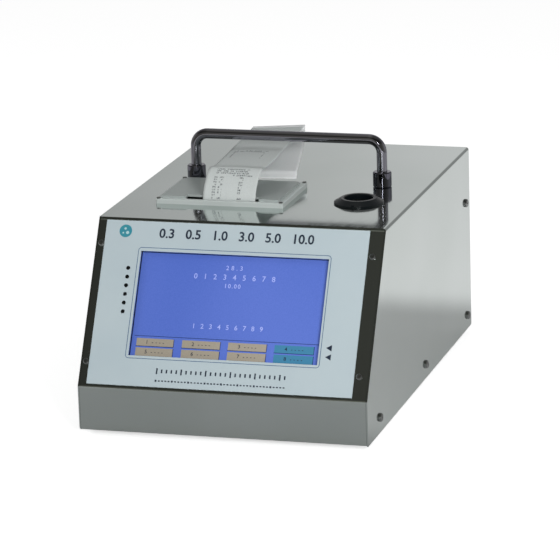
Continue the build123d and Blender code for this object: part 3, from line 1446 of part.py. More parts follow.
# Inner screws: display retainer, boards and sensor bracket
with BuildPart() as inner_screws:
    with BuildSketch(fascia.offset(-chassis_sheet - stud_height - retainer_sheet)):
        with Locations(*stud_points):
            Circle(fascia_screw_head_radius)
    extrude(amount=-fascia_screw_head_height)
    with BuildSketch(fascia.offset(-chassis_sheet - stud_height - retainer_sheet)):
        with Locations(*stud_points):
            Circle(fascia_screw_radius)
    extrude(amount=stud_height - 1)
    with BuildSketch(Plane.XY.offset(board_z + board_sheet)):
        with Locations(*spacer_points):
            Circle(fascia_screw_head_radius)
    extrude(amount=1.5)
    with BuildSketch(Plane.XY.offset(board_z + board_sheet)):
        with Locations(*spacer_points):
            Circle(fascia_screw_radius)
    extrude(amount=-6.0)
    with BuildSketch(Plane.XY.offset(floor_z + bracket_sheet)):
        with Locations(*bracket_points):
            Circle(2.75)
    extrude(amount=2.0)
    with BuildSketch(Plane.XY.offset(floor_z + bracket_sheet)):
        with Locations(*bracket_points):
            Circle(rear_screw_radius)
    extrude(amount=-bracket_sheet - chassis_sheet)
inner_screws.part.label = "inner_screws"
export_step(inner_screws.part, "parts/inner_screws.step")
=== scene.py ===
import math

import bmesh
import bpy
from mathutils import Matrix, Vector


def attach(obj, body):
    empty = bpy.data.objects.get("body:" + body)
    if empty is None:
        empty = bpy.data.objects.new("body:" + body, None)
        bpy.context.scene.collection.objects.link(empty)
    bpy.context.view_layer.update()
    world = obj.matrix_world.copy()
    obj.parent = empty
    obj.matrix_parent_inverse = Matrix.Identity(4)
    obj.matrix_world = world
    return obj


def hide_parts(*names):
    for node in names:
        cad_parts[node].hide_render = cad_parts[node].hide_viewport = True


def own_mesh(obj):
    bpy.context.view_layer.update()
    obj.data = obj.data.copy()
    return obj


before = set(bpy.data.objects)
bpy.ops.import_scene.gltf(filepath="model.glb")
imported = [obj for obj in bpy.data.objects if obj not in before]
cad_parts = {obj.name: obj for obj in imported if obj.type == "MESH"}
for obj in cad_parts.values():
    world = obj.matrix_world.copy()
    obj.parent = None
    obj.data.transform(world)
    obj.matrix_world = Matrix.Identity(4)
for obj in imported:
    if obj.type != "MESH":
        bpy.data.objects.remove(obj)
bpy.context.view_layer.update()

bpy.context.scene.view_settings.view_transform = "Standard"
print("frame loaded:", len(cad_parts), "nodes")

# where the sloping front starts, in metres, and how far it leans
fascia = {"crestY": -0.114359, "topZ": 0.161, "lean": math.radians(30.0)}
fasciaPlace = Matrix((
    (1, 0, 0, 0),
    (0, math.sin(fascia["lean"]), -math.cos(fascia["lean"]), fascia["crestY"]),
    (0, math.cos(fascia["lean"]), math.sin(fascia["lean"]), fascia["topZ"]),
    (0, 0, 0, 1),
))


def linear(hexColour):
    channels = []
    for i in (1, 3, 5):
        c = int(hexColour[i:i + 2], 16) / 255
        channels.append(c / 12.92 if c <= 0.04045 else ((c + 0.055) / 1.055) ** 2.4)
    return (*channels, 1.0)


def grey(level):
    return (level, level, level, 1.0)


def add(tree, kind, settings=None, inputs=None, links=None, stops=()):
    made = tree.nodes.new(kind)
    for key, value in (settings or {}).items():
        setattr(made, key, value)
    for key, value in (inputs or {}).items():
        made.inputs[key].default_value = value
    for key, (source, socket) in (links or {}).items():
        tree.links.new(source.outputs[socket], made.inputs[key])
    for i, (spot, colour) in enumerate(stops):
        mark = made.color_ramp.elements[i] if i < 2 else made.color_ramp.elements.new(spot)
        mark.position = spot
        mark.color = colour
    return made


def startMaterial(name, **settings):
    material = bpy.data.materials.new(name)
    material.use_nodes = True
    tree = material.node_tree
    shader = tree.nodes["Principled BSDF"]
    for key, value in settings.items():
        shader.inputs[key.replace("_", " ")].default_value = value
    coords = add(tree, "ShaderNodeTexCoord")
    return material, tree, shader, coords


surface = {
    "patches": 22.0,                   # colour drifts in patches of about 45 mm
    "reliefDepth": 0.0002,             # grain stands 0.2 mm at full strength
    "glossSpread": (0.85, 1.15),
}


def wornSurface(name, pale, dark, metallic, rough, grain, bump, ior=None, coat=0.0, stretch=(1, 1, 1)):
    # one colour that drifts over the surface; grain is the size of the texture in millimetres,
    # and it shows in the gloss and in the relief
    material, tree, shader, coords = startMaterial(name, Metallic=metallic, Coat_Weight=coat)
    if ior:
        shader.inputs["IOR"].default_value = ior
    turned = add(tree, "ShaderNodeMapping", inputs={"Scale": stretch}, links={"Vector": (coords, "Object")})
    drift = add(tree, "ShaderNodeTexNoise", inputs={"Scale": surface["patches"], "Detail": 3.0},
                links={"Vector": (coords, "Object")})
    tint = add(tree, "ShaderNodeValToRGB", links={"Fac": (drift, "Fac")},
               stops=[(0.3, linear(dark)), (0.7, linear(pale))])
    fine = add(tree, "ShaderNodeTexNoise", inputs={"Scale": 1000.0 / grain, "Detail": 2.0},
               links={"Vector": (turned, "Vector")})
    low, high = surface["glossSpread"]
    gloss = add(tree, "ShaderNodeValToRGB", links={"Fac": (fine, "Fac")},
                stops=[(0.25, grey(rough * low)), (0.75, grey(rough * high))])
    relief = add(tree, "ShaderNodeBump", inputs={"Strength": bump, "Distance": surface["reliefDepth"]},
                 links={"Height": (fine, "Fac")})
    tree.links.new(tint.outputs["Color"], shader.inputs["Base Color"])
    tree.links.new(gloss.outputs["Color"], shader.inputs["Roughness"])
    tree.links.new(relief.outputs["Normal"], shader.inputs["Normal"])
    return material


sheetSteel = {
    "pale": "#CFD6D4", "dark": "#C8D0CD", "rough": 0.085,
    "lineScale": (900.0, 14.0, 900.0),  # polishing lines 1.1 mm apart so that they show, about 70 mm long
    "waveScale": 9.0,                   # slow waves about 110 mm long
    "lineHeight": 0.03,
    "dip": -4.0, "dipFrom": -0.012, "dipTo": 0.04,
    "reliefStrength": 0.12, "reliefDepth": 0.0006,
}


def polishedSheet():
    # stainless steel, rolled and polished: clear but slightly blurred reflections,
    # faint polishing lines along the roll and a slow waviness from folding
    material, tree, shader, coords = startMaterial("polishedStainless", Metallic=1.0)
    rough = sheetSteel["rough"]
    along = add(tree, "ShaderNodeMapping", inputs={"Scale": sheetSteel["lineScale"]},
                links={"Vector": (coords, "Object")})
    lines = add(tree, "ShaderNodeTexNoise", inputs={"Scale": 1.0, "Detail": 4.0},
                links={"Vector": (along, "Vector")})
    slow = add(tree, "ShaderNodeTexNoise", inputs={"Scale": sheetSteel["waveScale"], "Detail": 2.0},
               links={"Vector": (coords, "Object")})
    tint = add(tree, "ShaderNodeValToRGB", links={"Fac": (slow, "Fac")},
               stops=[(0.3, linear(sheetSteel["dark"])), (0.7, linear(sheetSteel["pale"]))])
    gloss = add(tree, "ShaderNodeValToRGB", links={"Fac": (lines, "Fac")},
                stops=[(0.3, grey(rough * 0.8)), (0.7, grey(rough * 1.25))])
    mixed = add(tree, "ShaderNodeMath", {"operation": "MULTIPLY_ADD"}, {1: sheetSteel["lineHeight"], 2: 0.0},
                {0: (lines, "Fac")})
    height = add(tree, "ShaderNodeMath", {"operation": "ADD"}, links={0: (mixed, "Value"), 1: (slow, "Fac")})
    # the sheet dips a little over its last 50 mm before the fold
    parts = add(tree, "ShaderNodeSeparateXYZ", links={"Vector": (coords, "Object")})
    crown = add(tree, "ShaderNodeMapRange", {"interpolation_type": "SMOOTHSTEP"},
                {1: fascia["crestY"] + sheetSteel["dipFrom"], 2: fascia["crestY"] + sheetSteel["dipTo"],
                 3: sheetSteel["dip"], 4: 0.0}, {0: (parts, "Y")})
    bent = add(tree, "ShaderNodeMath", {"operation": "ADD"}, links={0: (height, "Value"), 1: (crown, "Result")})
    relief = add(tree, "ShaderNodeBump",
                 inputs={"Strength": sheetSteel["reliefStrength"], "Distance": sheetSteel["reliefDepth"]},
                 links={"Height": (bent, "Value")})
    tree.links.new(tint.outputs["Color"], shader.inputs["Base Color"])
    tree.links.new(gloss.outputs["Color"], shader.inputs["Roughness"])
    tree.links.new(relief.outputs["Normal"], shader.inputs["Normal"])
    return material


panel = {"cellScale": 1100.0, "cellShare": 0.25, "spreadScale": 7.0}


def litPanel(name, pale, dark, glow):
    # backlit liquid crystal behind glass: an even glow with a faint cell pattern, 0.9 mm so that it shows,
    # where real cells are 0.3 mm
    material, tree, shader, coords = startMaterial(name, Roughness=0.22, IOR=1.5, Coat_Weight=0.6,
                                                   Coat_Roughness=0.04)
    cells = add(tree, "ShaderNodeTexNoise", inputs={"Scale": panel["cellScale"], "Detail": 0.0},
                links={"Vector": (coords, "Object")})
    spread = add(tree, "ShaderNodeTexNoise", inputs={"Scale": panel["spreadScale"], "Detail": 1.0},
                 links={"Vector": (coords, "Object")})
    both = add(tree, "ShaderNodeMath", {"operation": "MULTIPLY_ADD"}, {1: panel["cellShare"]},
               {0: (cells, "Fac"), 2: (spread, "Fac")})
    tint = add(tree, "ShaderNodeValToRGB", links={"Fac": (both, "Value")},
               stops=[(0.45, linear(dark)), (0.8, linear(pale))])
    tree.links.new(tint.outputs["Color"], shader.inputs["Base Color"])
    tree.links.new(tint.outputs["Color"], shader.inputs["Emission Color"])
    shader.inputs["Emission Strength"].default_value = glow
    return material


# pale, dark, metallic, roughness, grain in mm, bump, then IOR and coat where it isn't metal.
# Most real grain is 0.02 to 0.1 mm and would not show, so it is drawn coarser.
worn = {
    # ABS moulded in a lightly eroded tool: satin, with an even fine grain
    "greyAbsCase": ("#CBD3D1", "#C4CCCA", 0.0, 0.42, 0.35, 0.15, 1.5),
    # the same ABS, a shade darker
    "greyAbsLid": ("#A9B1AF", "#A2AAA8", 0.0, 0.42, 0.35, 0.15, 1.5),
    # ABS inside the printer, darker and duller because it isn't meant to be seen
    "greyAbsTray": ("#5E6462", "#565C5A", 0.0, 0.5, 0.35, 0.15, 1.5),
    # closed-cell neoprene foam, cut from sheet: black and quite dull, with open cells on its cut face
    "neopreneFoam": ("#15171C", "#101217", 0.0, 0.9, 0.5, 0.5, 1.4),
    # chromium over polished steel bar: dark, sharp mirror with a cool cast
    "chromePlate": ("#9C9BA3", "#93929B", 1.0, 0.05, 0.8, 0.01),
    # dark chromium on turned collars: the same mirror, deeper
    "smokedChrome": ("#7E7D88", "#757480", 1.0, 0.05, 0.8, 0.01),
    # zinc-plated steel screws, tumbled: soft grey shine
    "zincPlatedSteel": ("#A5A7A7", "#969898", 1.0, 0.34, 0.3, 0.15),
    # polyester film, printed behind and laminated matt: flat pale blue with a light tooth
    "polyesterFilm": ("#BECCD1", "#B9C8CE", 0.0, 0.42, 0.25, 0.12, 1.5),
    # black ABS, moulded: near black with a soft shine at the edges
    "blackAbs": ("#161A1A", "#101413", 0.0, 0.48, 0.5, 0.2, 1.4),
    # glass-filled nylon, moulded smooth: black with a clearer shine than the ABS
    "blackNylon": ("#11171A", "#0C1114", 0.0, 0.3, 0.5, 0.12, 1.5),
    # stainless steel turned on a lathe: bright, with fine rings round it
    "turnedStainless": ("#B4B6B5", "#9FA1A0", 1.0, 0.22, 0.2, 0.1, None, 0.0, (1, 1, 6)),
    # moulded nitrile rubber: dull black, slightly dusty
    "nitrileRubber": ("#1B1B1B", "#141414", 0.0, 0.75, 0.6, 0.35, 1.5),
    # smoked acrylic, moulded and polished: glossy and nearly black while unlit
    "smokedAcrylic": ("#15181A", "#0E1011", 0.0, 0.15, 0.4, 0.02, 1.5, 0.5),
    # screen-printed inks: flat colour, a little duller than the film
    "navyInk": ("#2A3547", "#232D3D", 0.0, 0.5, 0.3, 0.1, 1.5),
    "blueInk": ("#4F6D92", "#486689", 0.0, 0.5, 0.3, 0.1, 1.5),
    "tealInk": ("#3E9C9B", "#2F7FA6", 0.0, 0.5, 0.3, 0.1, 1.5),
    "paleInk": ("#B9D8DA", "#AFCFD4", 0.0, 0.5, 0.3, 0.1, 1.5),
    # powder-painted steel inside: mid grey with a slight orange peel
    "paintedSteel": ("#8C8F90", "#808384", 0.2, 0.5, 0.8, 0.2),
    # glass-epoxy board under green solder mask: smooth and a little glossy
    "solderMask": ("#1D5B34", "#17492A", 0.0, 0.4, 0.6, 0.1, 1.5),
    # aluminium, milled and anodised black: dark with a metallic sheen
    "blackAnodisedAluminium": ("#2A2B2D", "#222325", 0.6, 0.4, 0.4, 0.15),
    # white polypropylene, moulded: waxy and even
    "whitePolypropylene": ("#D8DADA", "#CFD2D2", 0.0, 0.35, 0.6, 0.1, 1.5),
    # tinned steel, pressed: warm bright grey
    "tinnedSteel": ("#C4C3BC", "#B5B4AD", 1.0, 0.28, 0.4, 0.12),
    # brass blades, stamped and thinly plated: pale yellow metal
    "platedBrass": ("#C8B98C", "#B9A977", 1.0, 0.25, 0.3, 0.1),
    # thermal paper, coated and calendered: matt, cool white; its fibres are drawn 0.12 mm wide
    "thermalPaper": ("#E4E8E6", "#DDE1DF", 0.0, 0.85, 0.12, 0.25, 1.5),
}
# pale, dark and glow of what the display lights up: its ground, figures, two sorts of key and their edges
lit = {
    "displayBlue": ("#5C74C8", "#4F69BE", 0.22),
    "displayLilac": ("#9FABE6", "#93A0DE", 0.3),
    "displayTan": ("#A29A8C", "#968E80", 0.2),
    "displayTeal": ("#417FA0", "#387596", 0.25),
    "displayNavy": ("#2A3A68", "#23325C", 0.08),
}
finishes = {"polishedStainless": polishedSheet()}
for name, values in worn.items():
    finishes[name] = wornSurface(name, *values)
for name, values in lit.items():
    finishes[name] = litPanel(name, *values)

dressing = {
    "polishedStainless": ["top_cover", "base_chassis", "rear_panel"],
    "greyAbsCase": ["printer_bezel"],
    "greyAbsLid": ["printer_lid"],
    "greyAbsTray": ["printer_tray", "print_head"],
    "neopreneFoam": ["display_gasket"],
    "chromePlate": ["carry_handle"],
    "smokedChrome": ["handle_ferrules"],
    "zincPlatedSteel": ["cover_screws", "fascia_screws", "underside_screws", "panel_screws", "bezel_screws",
                        "handle_screws", "inner_screws", "serial_jacks", "lid_pins", "platen_axle",
                        "motor_pinion"],
    "polyesterFilm": ["front_overlay"],
    "displayBlue": ["display_window"],
    "blackNylon": ["inlet_ring"],
    "blackAbs": ["inlet_well", "roll_spindle", "power_inlet", "switch_body", "switch_rocker", "fan_frame",
                 "fan_rotor", "blower_housing", "blower_cover", "blower_impeller", "lcd_module"],
    "turnedStainless": ["sample_nozzle", "exhaust_nozzle"],
    "nitrileRubber": ["feet", "platen_roller", "sample_hoses", "exhaust_elbow"],
    "smokedAcrylic": ["channel_lamps"],
    "paintedSteel": ["feed_motor", "blower_motor", "display_retainer", "sensor_bracket", "power_supply"],
    "solderMask": ["main_board", "lamp_board", "detector_board", "board_parts"],
    "blackAnodisedAluminium": ["sensor_block", "laser_module", "light_trap"],
    "whitePolypropylene": ["exhaust_filter"],
    "tinnedSteel": ["serial_port"],
    "platedBrass": ["inlet_blades"],
    "thermalPaper": ["paper_roll", "printed_strip"],
}
for finish, names in dressing.items():
    for name in names:
        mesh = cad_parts[name].data
        if not mesh.materials:
            mesh.materials.append(None)
        for i in range(len(mesh.materials)):
            mesh.materials[i] = finishes[finish]
print("finishes on the frame:", len(finishes))


def place(name, mesh, material, body="housing"):
    if material is not None:
        mesh.materials.clear()
        mesh.materials.append(finishes[material])
    made = bpy.data.objects.new(name, mesh)
    bpy.context.scene.collection.objects.link(made)
    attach(made, body)
    return made


def printed(name, outlines, lift, depth, material):
    # flat shapes on the slope: outlines in millimetres across and down, raised by a layer's thickness
    work = bmesh.new()
    for outline in outlines:
        flat = [(u / 1000, -v / 1000) for u, v in outline]
        area = sum(a[0] * b[1] - b[0] * a[1] for a, b in zip(flat, flat[1:] + flat[:1]))
        if area < 0:
            flat.reverse()
        upper = [work.verts.new((x, y, (lift + depth) / 1000)) for x, y in flat]
        lower = [work.verts.new((x, y, lift / 1000)) for x, y in flat]
        work.faces.new(upper)
        work.faces.new(list(reversed(lower)))
        for i in range(len(flat)):
            j = (i + 1) % len(flat)
            work.faces.new((lower[i], lower[j], upper[j], upper[i]))
    mesh = bpy.data.meshes.new(name)
    work.to_mesh(mesh)
    work.free()
    mesh.transform(fasciaPlace)
    return place(name, mesh, material)


def block(u, v, width, height):
    return [(u - width / 2, v - height / 2), (u + width / 2, v - height / 2),
            (u + width / 2, v + height / 2), (u - width / 2, v + height / 2)]


def disc(u, v, radius, count=32):
    return [(u + radius * math.cos(i * math.tau / count), v + radius * math.sin(i * math.tau / count))
            for i in range(count)]


def roundedLine(left, top, right, bottom, radius, width, steps=8):
    # a closed thin line with round corners, cut into short quads
    corners = ((right - radius, bottom - radius), (left + radius, bottom - radius),
               (left + radius, top + radius), (right - radius, top + radius))

    def ring(grow):
        out = []
        for turn, (cornerU, cornerV) in enumerate(corners):
            for i in range(steps + 1):
                a = (turn + i / steps) * math.pi / 2
                out.append((cornerU + (radius + grow) * math.cos(a), cornerV + (radius + grow) * math.sin(a)))
        return out
    outer, inner = ring(width / 2), ring(-width / 2)
    count = len(outer)
    return [[outer[i], outer[(i + 1) % count], inner[(i + 1) % count], inner[i]] for i in range(count)]


def figures(name, words, size, u, v, lift, depth, material, slot, spacing=1.0, bold=0.0):
    curve = bpy.data.curves.new(name, "FONT")
    curve.body = words
    curve.size = size / 1000
    curve.align_x = "CENTER"
    curve.align_y = "CENTER"
    curve.space_character = spacing
    curve.offset = bold / 1000
    curve.extrude = depth / 2000
    curve.resolution_u = 3
    maker = bpy.data.objects.new(name + "Maker", curve)
    bpy.context.scene.collection.objects.link(maker)
    mesh = bpy.data.meshes.new_from_object(maker.evaluated_get(bpy.context.evaluated_depsgraph_get()))
    bpy.data.objects.remove(maker)
    shift = Matrix.Translation((u / 1000, -v / 1000, (lift + depth / 2) / 1000))
    mesh.transform(fasciaPlace @ shift)
    mesh.name = name
    return place(name, mesh, material)


# millimetres across from the middle and down from the crest
label = {
    "lift": 0.5, "ink": 0.05,
    "frame": (-81.3, 24.0, 76.3, 113.8), "frameWidth": 0.5, "frameRadius": 2.6,
    "heading": "0.3   0.5   1.0   3.0   5.0   10.0", "headingSize": 10.6, "headingAt": (-2.5, 12.2),
    "headingBold": 0.22,
    "mark": (-94.0, 11.1), "markRadius": 5.2, "grainInk": 0.02,
    "grains": [(-1.9, 1.6, 0.7, 20), (1.7, 1.3, 1.3, 24), (-0.4, -1.9, 1.0, 24)],
    "arrows": [(82.9, 97.6), (82.9, 104.9)], "arrowShape": [(-2.6, 0.0), (1.9, -2.5), (1.9, 2.5)],
    "scaleRow": (-54.0, 50.0, 123.2), "scaleCount": 27, "scaleMark": (1.2, 2.9),
    "dotRow": (-54.0, 50.0, 131.0), "dotCount": 40, "dotMark": (1.5, 1.0),
    "longEvery": 5.0, "longBy": 0.6,
}
film = label["lift"]
markU, markV = label["mark"]
printed("labelFrame", roundedLine(*label["frame"], label["frameRadius"], label["frameWidth"]), film,
        label["ink"], "blueInk")
figures("channelSizes", label["heading"], label["headingSize"], *label["headingAt"], film, label["ink"],
        "navyInk", "overlay_film", 1.0, label["headingBold"])
# a plain disc with three grains of growing size
printed("grainDisc", [disc(markU, markV, label["markRadius"], 48)], film, label["ink"], "tealInk")
printed("grainDots", [disc(markU + u, markV + v, radius, count) for u, v, radius, count in label["grains"]],
        film + label["ink"], label["grainInk"], "paleInk")
printed("keyArrows", [[(u + du, v + dv) for du, dv in label["arrowShape"]] for u, v in label["arrows"]],
        film, label["ink"], "navyInk")
print("label printed")


def markRow(name, left, right, v, count, width, height, material):
    # a row of marks along the foot of the label, every fifth one longer
    tree = bpy.data.node_groups.new(name + "Tree", "GeometryNodeTree")
    face = tree.interface
    for title, kind, value in (("Left", "NodeSocketFloat", left), ("Right", "NodeSocketFloat", right),
                               ("Down", "NodeSocketFloat", v), ("Count", "NodeSocketInt", count),
                               ("Width", "NodeSocketFloat", width), ("Height", "NodeSocketFloat", height),
                               ("Ink", "NodeSocketMaterial", None)):
        made = face.new_socket(title, in_out="INPUT", socket_type=kind)
        if value is not None:
            made.default_value = value
    face.new_socket("Mesh", in_out="OUTPUT", socket_type="NodeSocketGeometry")
    given = add(tree, "NodeGroupInput")
    start = add(tree, "ShaderNodeCombineXYZ", links={"X": (given, "Left"), "Y": (given, "Down")})
    end = add(tree, "ShaderNodeCombineXYZ", links={"X": (given, "Right"), "Y": (given, "Down")})
    run = add(tree, "GeometryNodeMeshLine", {"mode": "END_POINTS"},
              links={"Count": (given, "Count"), "Start Location": (start, "Vector"), "Offset": (end, "Vector")})
    size = add(tree, "ShaderNodeCombineXYZ", inputs={"Z": label["ink"]},
               links={"X": (given, "Width"), "Y": (given, "Height")})
    mark = add(tree, "GeometryNodeMeshCube", links={"Size": (size, "Vector")})
    spread = add(tree, "GeometryNodeInstanceOnPoints", links={"Points": (run, "Mesh"), "Instance": (mark, "Mesh")})
    index = add(tree, "GeometryNodeInputIndex")
    every = add(tree, "ShaderNodeMath", {"operation": "MODULO"}, {1: label["longEvery"]}, {0: (index, "Index")})
    tall = add(tree, "ShaderNodeMath", {"operation": "LESS_THAN"}, {1: 0.5}, {0: (every, "Value")})
    grow = add(tree, "ShaderNodeMath", {"operation": "MULTIPLY_ADD"}, {1: label["longBy"], 2: 1.0},
               {0: (tall, "Value")})
    shape = add(tree, "ShaderNodeCombineXYZ", inputs={"X": 1.0, "Z": 1.0}, links={"Y": (grow, "Value")})
    scaled = add(tree, "GeometryNodeScaleInstances",
                 links={"Instances": (spread, "Instances"), "Scale": (shape, "Vector")})
    real = add(tree, "GeometryNodeRealizeInstances", links={"Geometry": (scaled, "Instances")})
    inked = add(tree, "GeometryNodeSetMaterial", links={"Geometry": (real, "Geometry"), "Material": (given, "Ink")})
    out = add(tree, "NodeGroupOutput")
    tree.links.new(inked.outputs["Geometry"], out.inputs["Mesh"])
    maker = bpy.data.objects.new(name + "Maker", bpy.data.meshes.new(name + "Blank"))
    bpy.context.scene.collection.objects.link(maker)
    modifier = maker.modifiers.new("marks", "NODES")
    modifier.node_group = tree
    for item in face.items_tree:
        if item.in_out == "INPUT" and item.name == "Ink":
            modifier[item.identifier] = finishes[material]
    mesh = bpy.data.meshes.new_from_object(maker.evaluated_get(bpy.context.evaluated_depsgraph_get()))
    maker.modifiers.remove(modifier)
    bpy.data.objects.remove(maker)
    raised = label["lift"] + label["ink"] / 2
    for vertex in mesh.vertices:
        x, y, z = vertex.co
        vertex.co = Vector((x / 1000, -y / 1000, (z + raised) / 1000))
    mesh.flip_normals()
    mesh.transform(fasciaPlace)
    mesh.name = name
    return place(name, mesh, None)


markRow("scaleMarks", *label["scaleRow"], label["scaleCount"], *label["scaleMark"], "navyInk")
markRow("dotMarks", *label["dotRow"], label["dotCount"], *label["dotMark"], "navyInk")

# what the display shows: plain figures and eight soft keys
display = {
    "lift": -4.0, "ink": 0.04, "keyInk": 0.02, "figureInk": 0.03,
    "rows": [("28.3", 5.0, -2.2, 36.6, 1.7), ("0 1 2 3 4 5 6 7 8", 6.0, -1.3, 44.2, 1.55),
             ("10.00", 4.8, -2.3, 51.2, 1.3), ("1 2 3 4 5 6 7 8 9", 5.4, -2.3, 84.6, 1.5)],
    "rowBold": 0.06,
    "rule": (-2.2, 94.4, 150.0, 0.45),
    "columns": [(-75.1, -44.7), (-37.6, -6.6), (0.0, 31.1), (37.7, 69.4)], "tanColumns": 3,
    "keyRows": [(96.3, 102.4), (103.9, 110.5)],
    "keyEdge": 0.5, "keyEdgePast": 0.8,
    "keySize": 4.2, "keySpacing": 1.1, "keyBold": 0.05,
}
glass = display["lift"]
keyFace = glass + display["ink"] + display["keyInk"]
for i, (words, size, u, v, spacing) in enumerate(display["rows"]):
    figures("screenRow" + str(i), words, size, u, v, glass, display["ink"], "displayLilac", "screen_glass",
            spacing, display["rowBold"])
printed("screenRule", [block(*display["rule"])], glass, display["ink"], "displayNavy")
keyBoxes = [(i, block((a + b) / 2, (top + low) / 2, b - a, low - top))
            for i, (a, b) in enumerate(display["columns"]) for top, low in display["keyRows"]]
printed("softKeys", [shape for i, shape in keyBoxes if i < display["tanColumns"]], glass,
        display["ink"] + display["keyInk"], "displayTan")
printed("softKeysRight", [shape for i, shape in keyBoxes if i >= display["tanColumns"]], glass,
        display["ink"] + display["keyInk"], "displayTeal")
edge = display["keyEdge"]
edges = []
for a, b in display["columns"]:
    for top, low in display["keyRows"]:
        edges.append(block((a + b) / 2, low + edge / 2, b - a + display["keyEdgePast"], edge))
        edges.append(block(b + edge / 2, (top + low) / 2, edge, low - top))
printed("softKeyEdges", edges, glass, display["ink"], "displayNavy")
# a short figure on each key
for i, (a, b) in enumerate(display["columns"]):
    for j, (top, low) in enumerate(display["keyRows"]):
        figures("keyFigure" + str(i) + str(j), str(1 + i + 4 * j) + "  - - - -", display["keySize"],
                (a + b) / 2, (top + low) / 2, keyFace, display["figureInk"], "navyInk", "screen_glass",
                display["keySpacing"], display["keyBold"])
print("display drawn")

# the printed strip, in millimetres: up out of the slot, back under the handle, creased and forward again below
# itself; rise holds (y, z) and back holds (distance from the crease, z)
strip = {
    "centreX": -27.0, "width": 44.0, "thickness": 0.12,
    "rise": [(-57.5, 160.0), (-58.2, 164.5), (-55.4, 171.2), (-49.6, 177.7), (-43.0, 182.6), (-38.0, 184.9),
             (-34.5, 185.2), (-29.0, 184.2), (-22.0, 183.6), (-8.0, 184.4), (11.0, 185.6), (43.0, 187.9),
             (70.0, 190.6), (89.6, 192.9)],
    "back": [(0.0, 192.7), (1.0, 188.6), (5.0, 184.2), (14.0, 180.6), (28.0, 177.4), (50.0, 174.2), (66.0, 172.6),
             (75.0, 171.9), (78.0, 171.3), (80.0, 170.0), (86.0, 167.6)],
    "creaseAngle": math.radians(5.25), "skewPower": 6,
    "twist": 2.2, "curl": 0.9, "curlEnd": 1.1, "crease": 158.0,
    "curveSteps": 24, "riseRows": 100, "backRows": 50, "columns": 22,
    "pushedTo": 45.0, "pushedKeep": 0.3,
}


def curveThrough(points, count):
    # an even run of places on a smooth line through the given points
    dense = []
    padded = [points[0]] + points + [points[-1]]
    for a, b, c, d in zip(padded, padded[1:], padded[2:], padded[3:]):
        for i in range(strip["curveSteps"]):
            t = i / strip["curveSteps"]
            dense.append([0.5 * (2 * q + (r - p) * t + (2 * p - 5 * q + 4 * r - s) * t * t
                                 + (3 * q - p - 3 * r + s) * t ** 3) for p, q, r, s in zip(a, b, c, d)])
    dense.append(list(points[-1]))
    lengths = [0.0]
    for a, b in zip(dense, dense[1:]):
        lengths.append(lengths[-1] + math.dist(a, b))
    out = []
    k = 0
    for i in range(count + 1):
        target = lengths[-1] * i / count
        while k < len(dense) - 2 and lengths[k + 1] < target:
            k += 1
        span = lengths[k + 1] - lengths[k] or 1.0
        t = (target - lengths[k]) / span
        out.append([p + (q - p) * t for p, q in zip(dense[k], dense[k + 1])])
    return out, lengths[-1]


def makeStrip():
    riseRows = strip["riseRows"]
    rows = riseRows + strip["backRows"]
    upper, upperLength = curveThrough(strip["rise"], riseRows)
    under, underLength = curveThrough(strip["back"], strip["backRows"])
    tilt = strip["creaseAngle"]
    half = strip["width"] / 2
    work = bmesh.new()
    uvLayer = work.loops.layers.uv.new("strip")
    grid = []
    for i in range(rows + 1):
        row = []
        for j in range(strip["columns"] + 1):
            t = -half + strip["width"] * j / strip["columns"]
            if i <= riseRows:
                share = i / riseRows
                y, z = upper[i]
                y += t * math.tan(tilt) * share ** strip["skewPower"]
                arch = math.sin(math.pi * min(1.0, share * strip["curlEnd"])) ** 2
                z += strip["curl"] * (1 - (t / half) ** 2) * arch
                z -= strip["twist"] * share ** 3 * (half - t) / strip["width"]
                x = strip["centreX"] + t
                along = upperLength * share
            else:
                d, z = under[i - riseRows]
                share = (i - riseRows) / strip["backRows"]
                x = strip["centreX"] + t + d * math.sin(2 * tilt)
                y = upper[-1][0] + t * math.tan(tilt) - d * math.cos(2 * tilt)
                z -= strip["twist"] * (1 - share) ** 2 * (half - t) / strip["width"]
                along = upperLength + underLength * share
            row.append((work.verts.new((x / 1000, y / 1000, z / 1000)), t, along))
        grid.append(row)
    for low, high in zip(grid, grid[1:]):
        for j in range(strip["columns"]):
            corners = (low[j], low[j + 1], high[j + 1], high[j])
            face = work.faces.new([c[0] for c in corners])
            face.smooth = True
            for loop, corner in zip(face.loops, corners):
                loop[uvLayer].uv = (corner[1] / 100, corner[2] / 100)
    mesh = bpy.data.meshes.new("paperStrip")
    work.to_mesh(mesh)
    work.free()
    made = place("paperStrip", mesh, "printedThermalPaper")
    thick = made.modifiers.new("sheet", "SOLIDIFY")
    thick.thickness = strip["thickness"] / 1000
    thick.offset = 1.0
    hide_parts("printed_strip")
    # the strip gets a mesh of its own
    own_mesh(made)


# millimetres along the strip from the slot, and across from its middle
receipt = {
    "letter": (1.5, 2.3), "letterFill": (0.8, 0.66), "lettersUsed": 0.8,
    "dot": 0.38, "dotsUsed": 0.58,
    "zones": [(2.0, 25.3, -15.2, -12.0), (2.0, 25.3, -10.4, -7.2), (2.0, 25.3, 6.3, 9.6),   # columns of counts
              (27.6, 34.5, -14.6, 12.8), (25.3, 27.6, 0.0, 16.8),                           # heading and total
              (87.0, 91.5, -17.0, 12.0), (71.0, 87.0, -17.0, -15.6), (71.0, 87.0, 9.0, 9.8)],      # chart
    # the back colour is partly painted light: whiter than the paper, to brighten the returning leaf in the shade of
    # the leaf above
    "front": ("#C9CFCE", "#D3D9D7"), "back": ("#F2F5F6", "#F8FAFA"), "ink": "#5A6064",
    "fibreScale": 1400.0,               # fibres drawn 0.7 mm apart, where real ones are too fine to show
    "reliefStrength": 0.2, "reliefDepth": 0.0001,
}


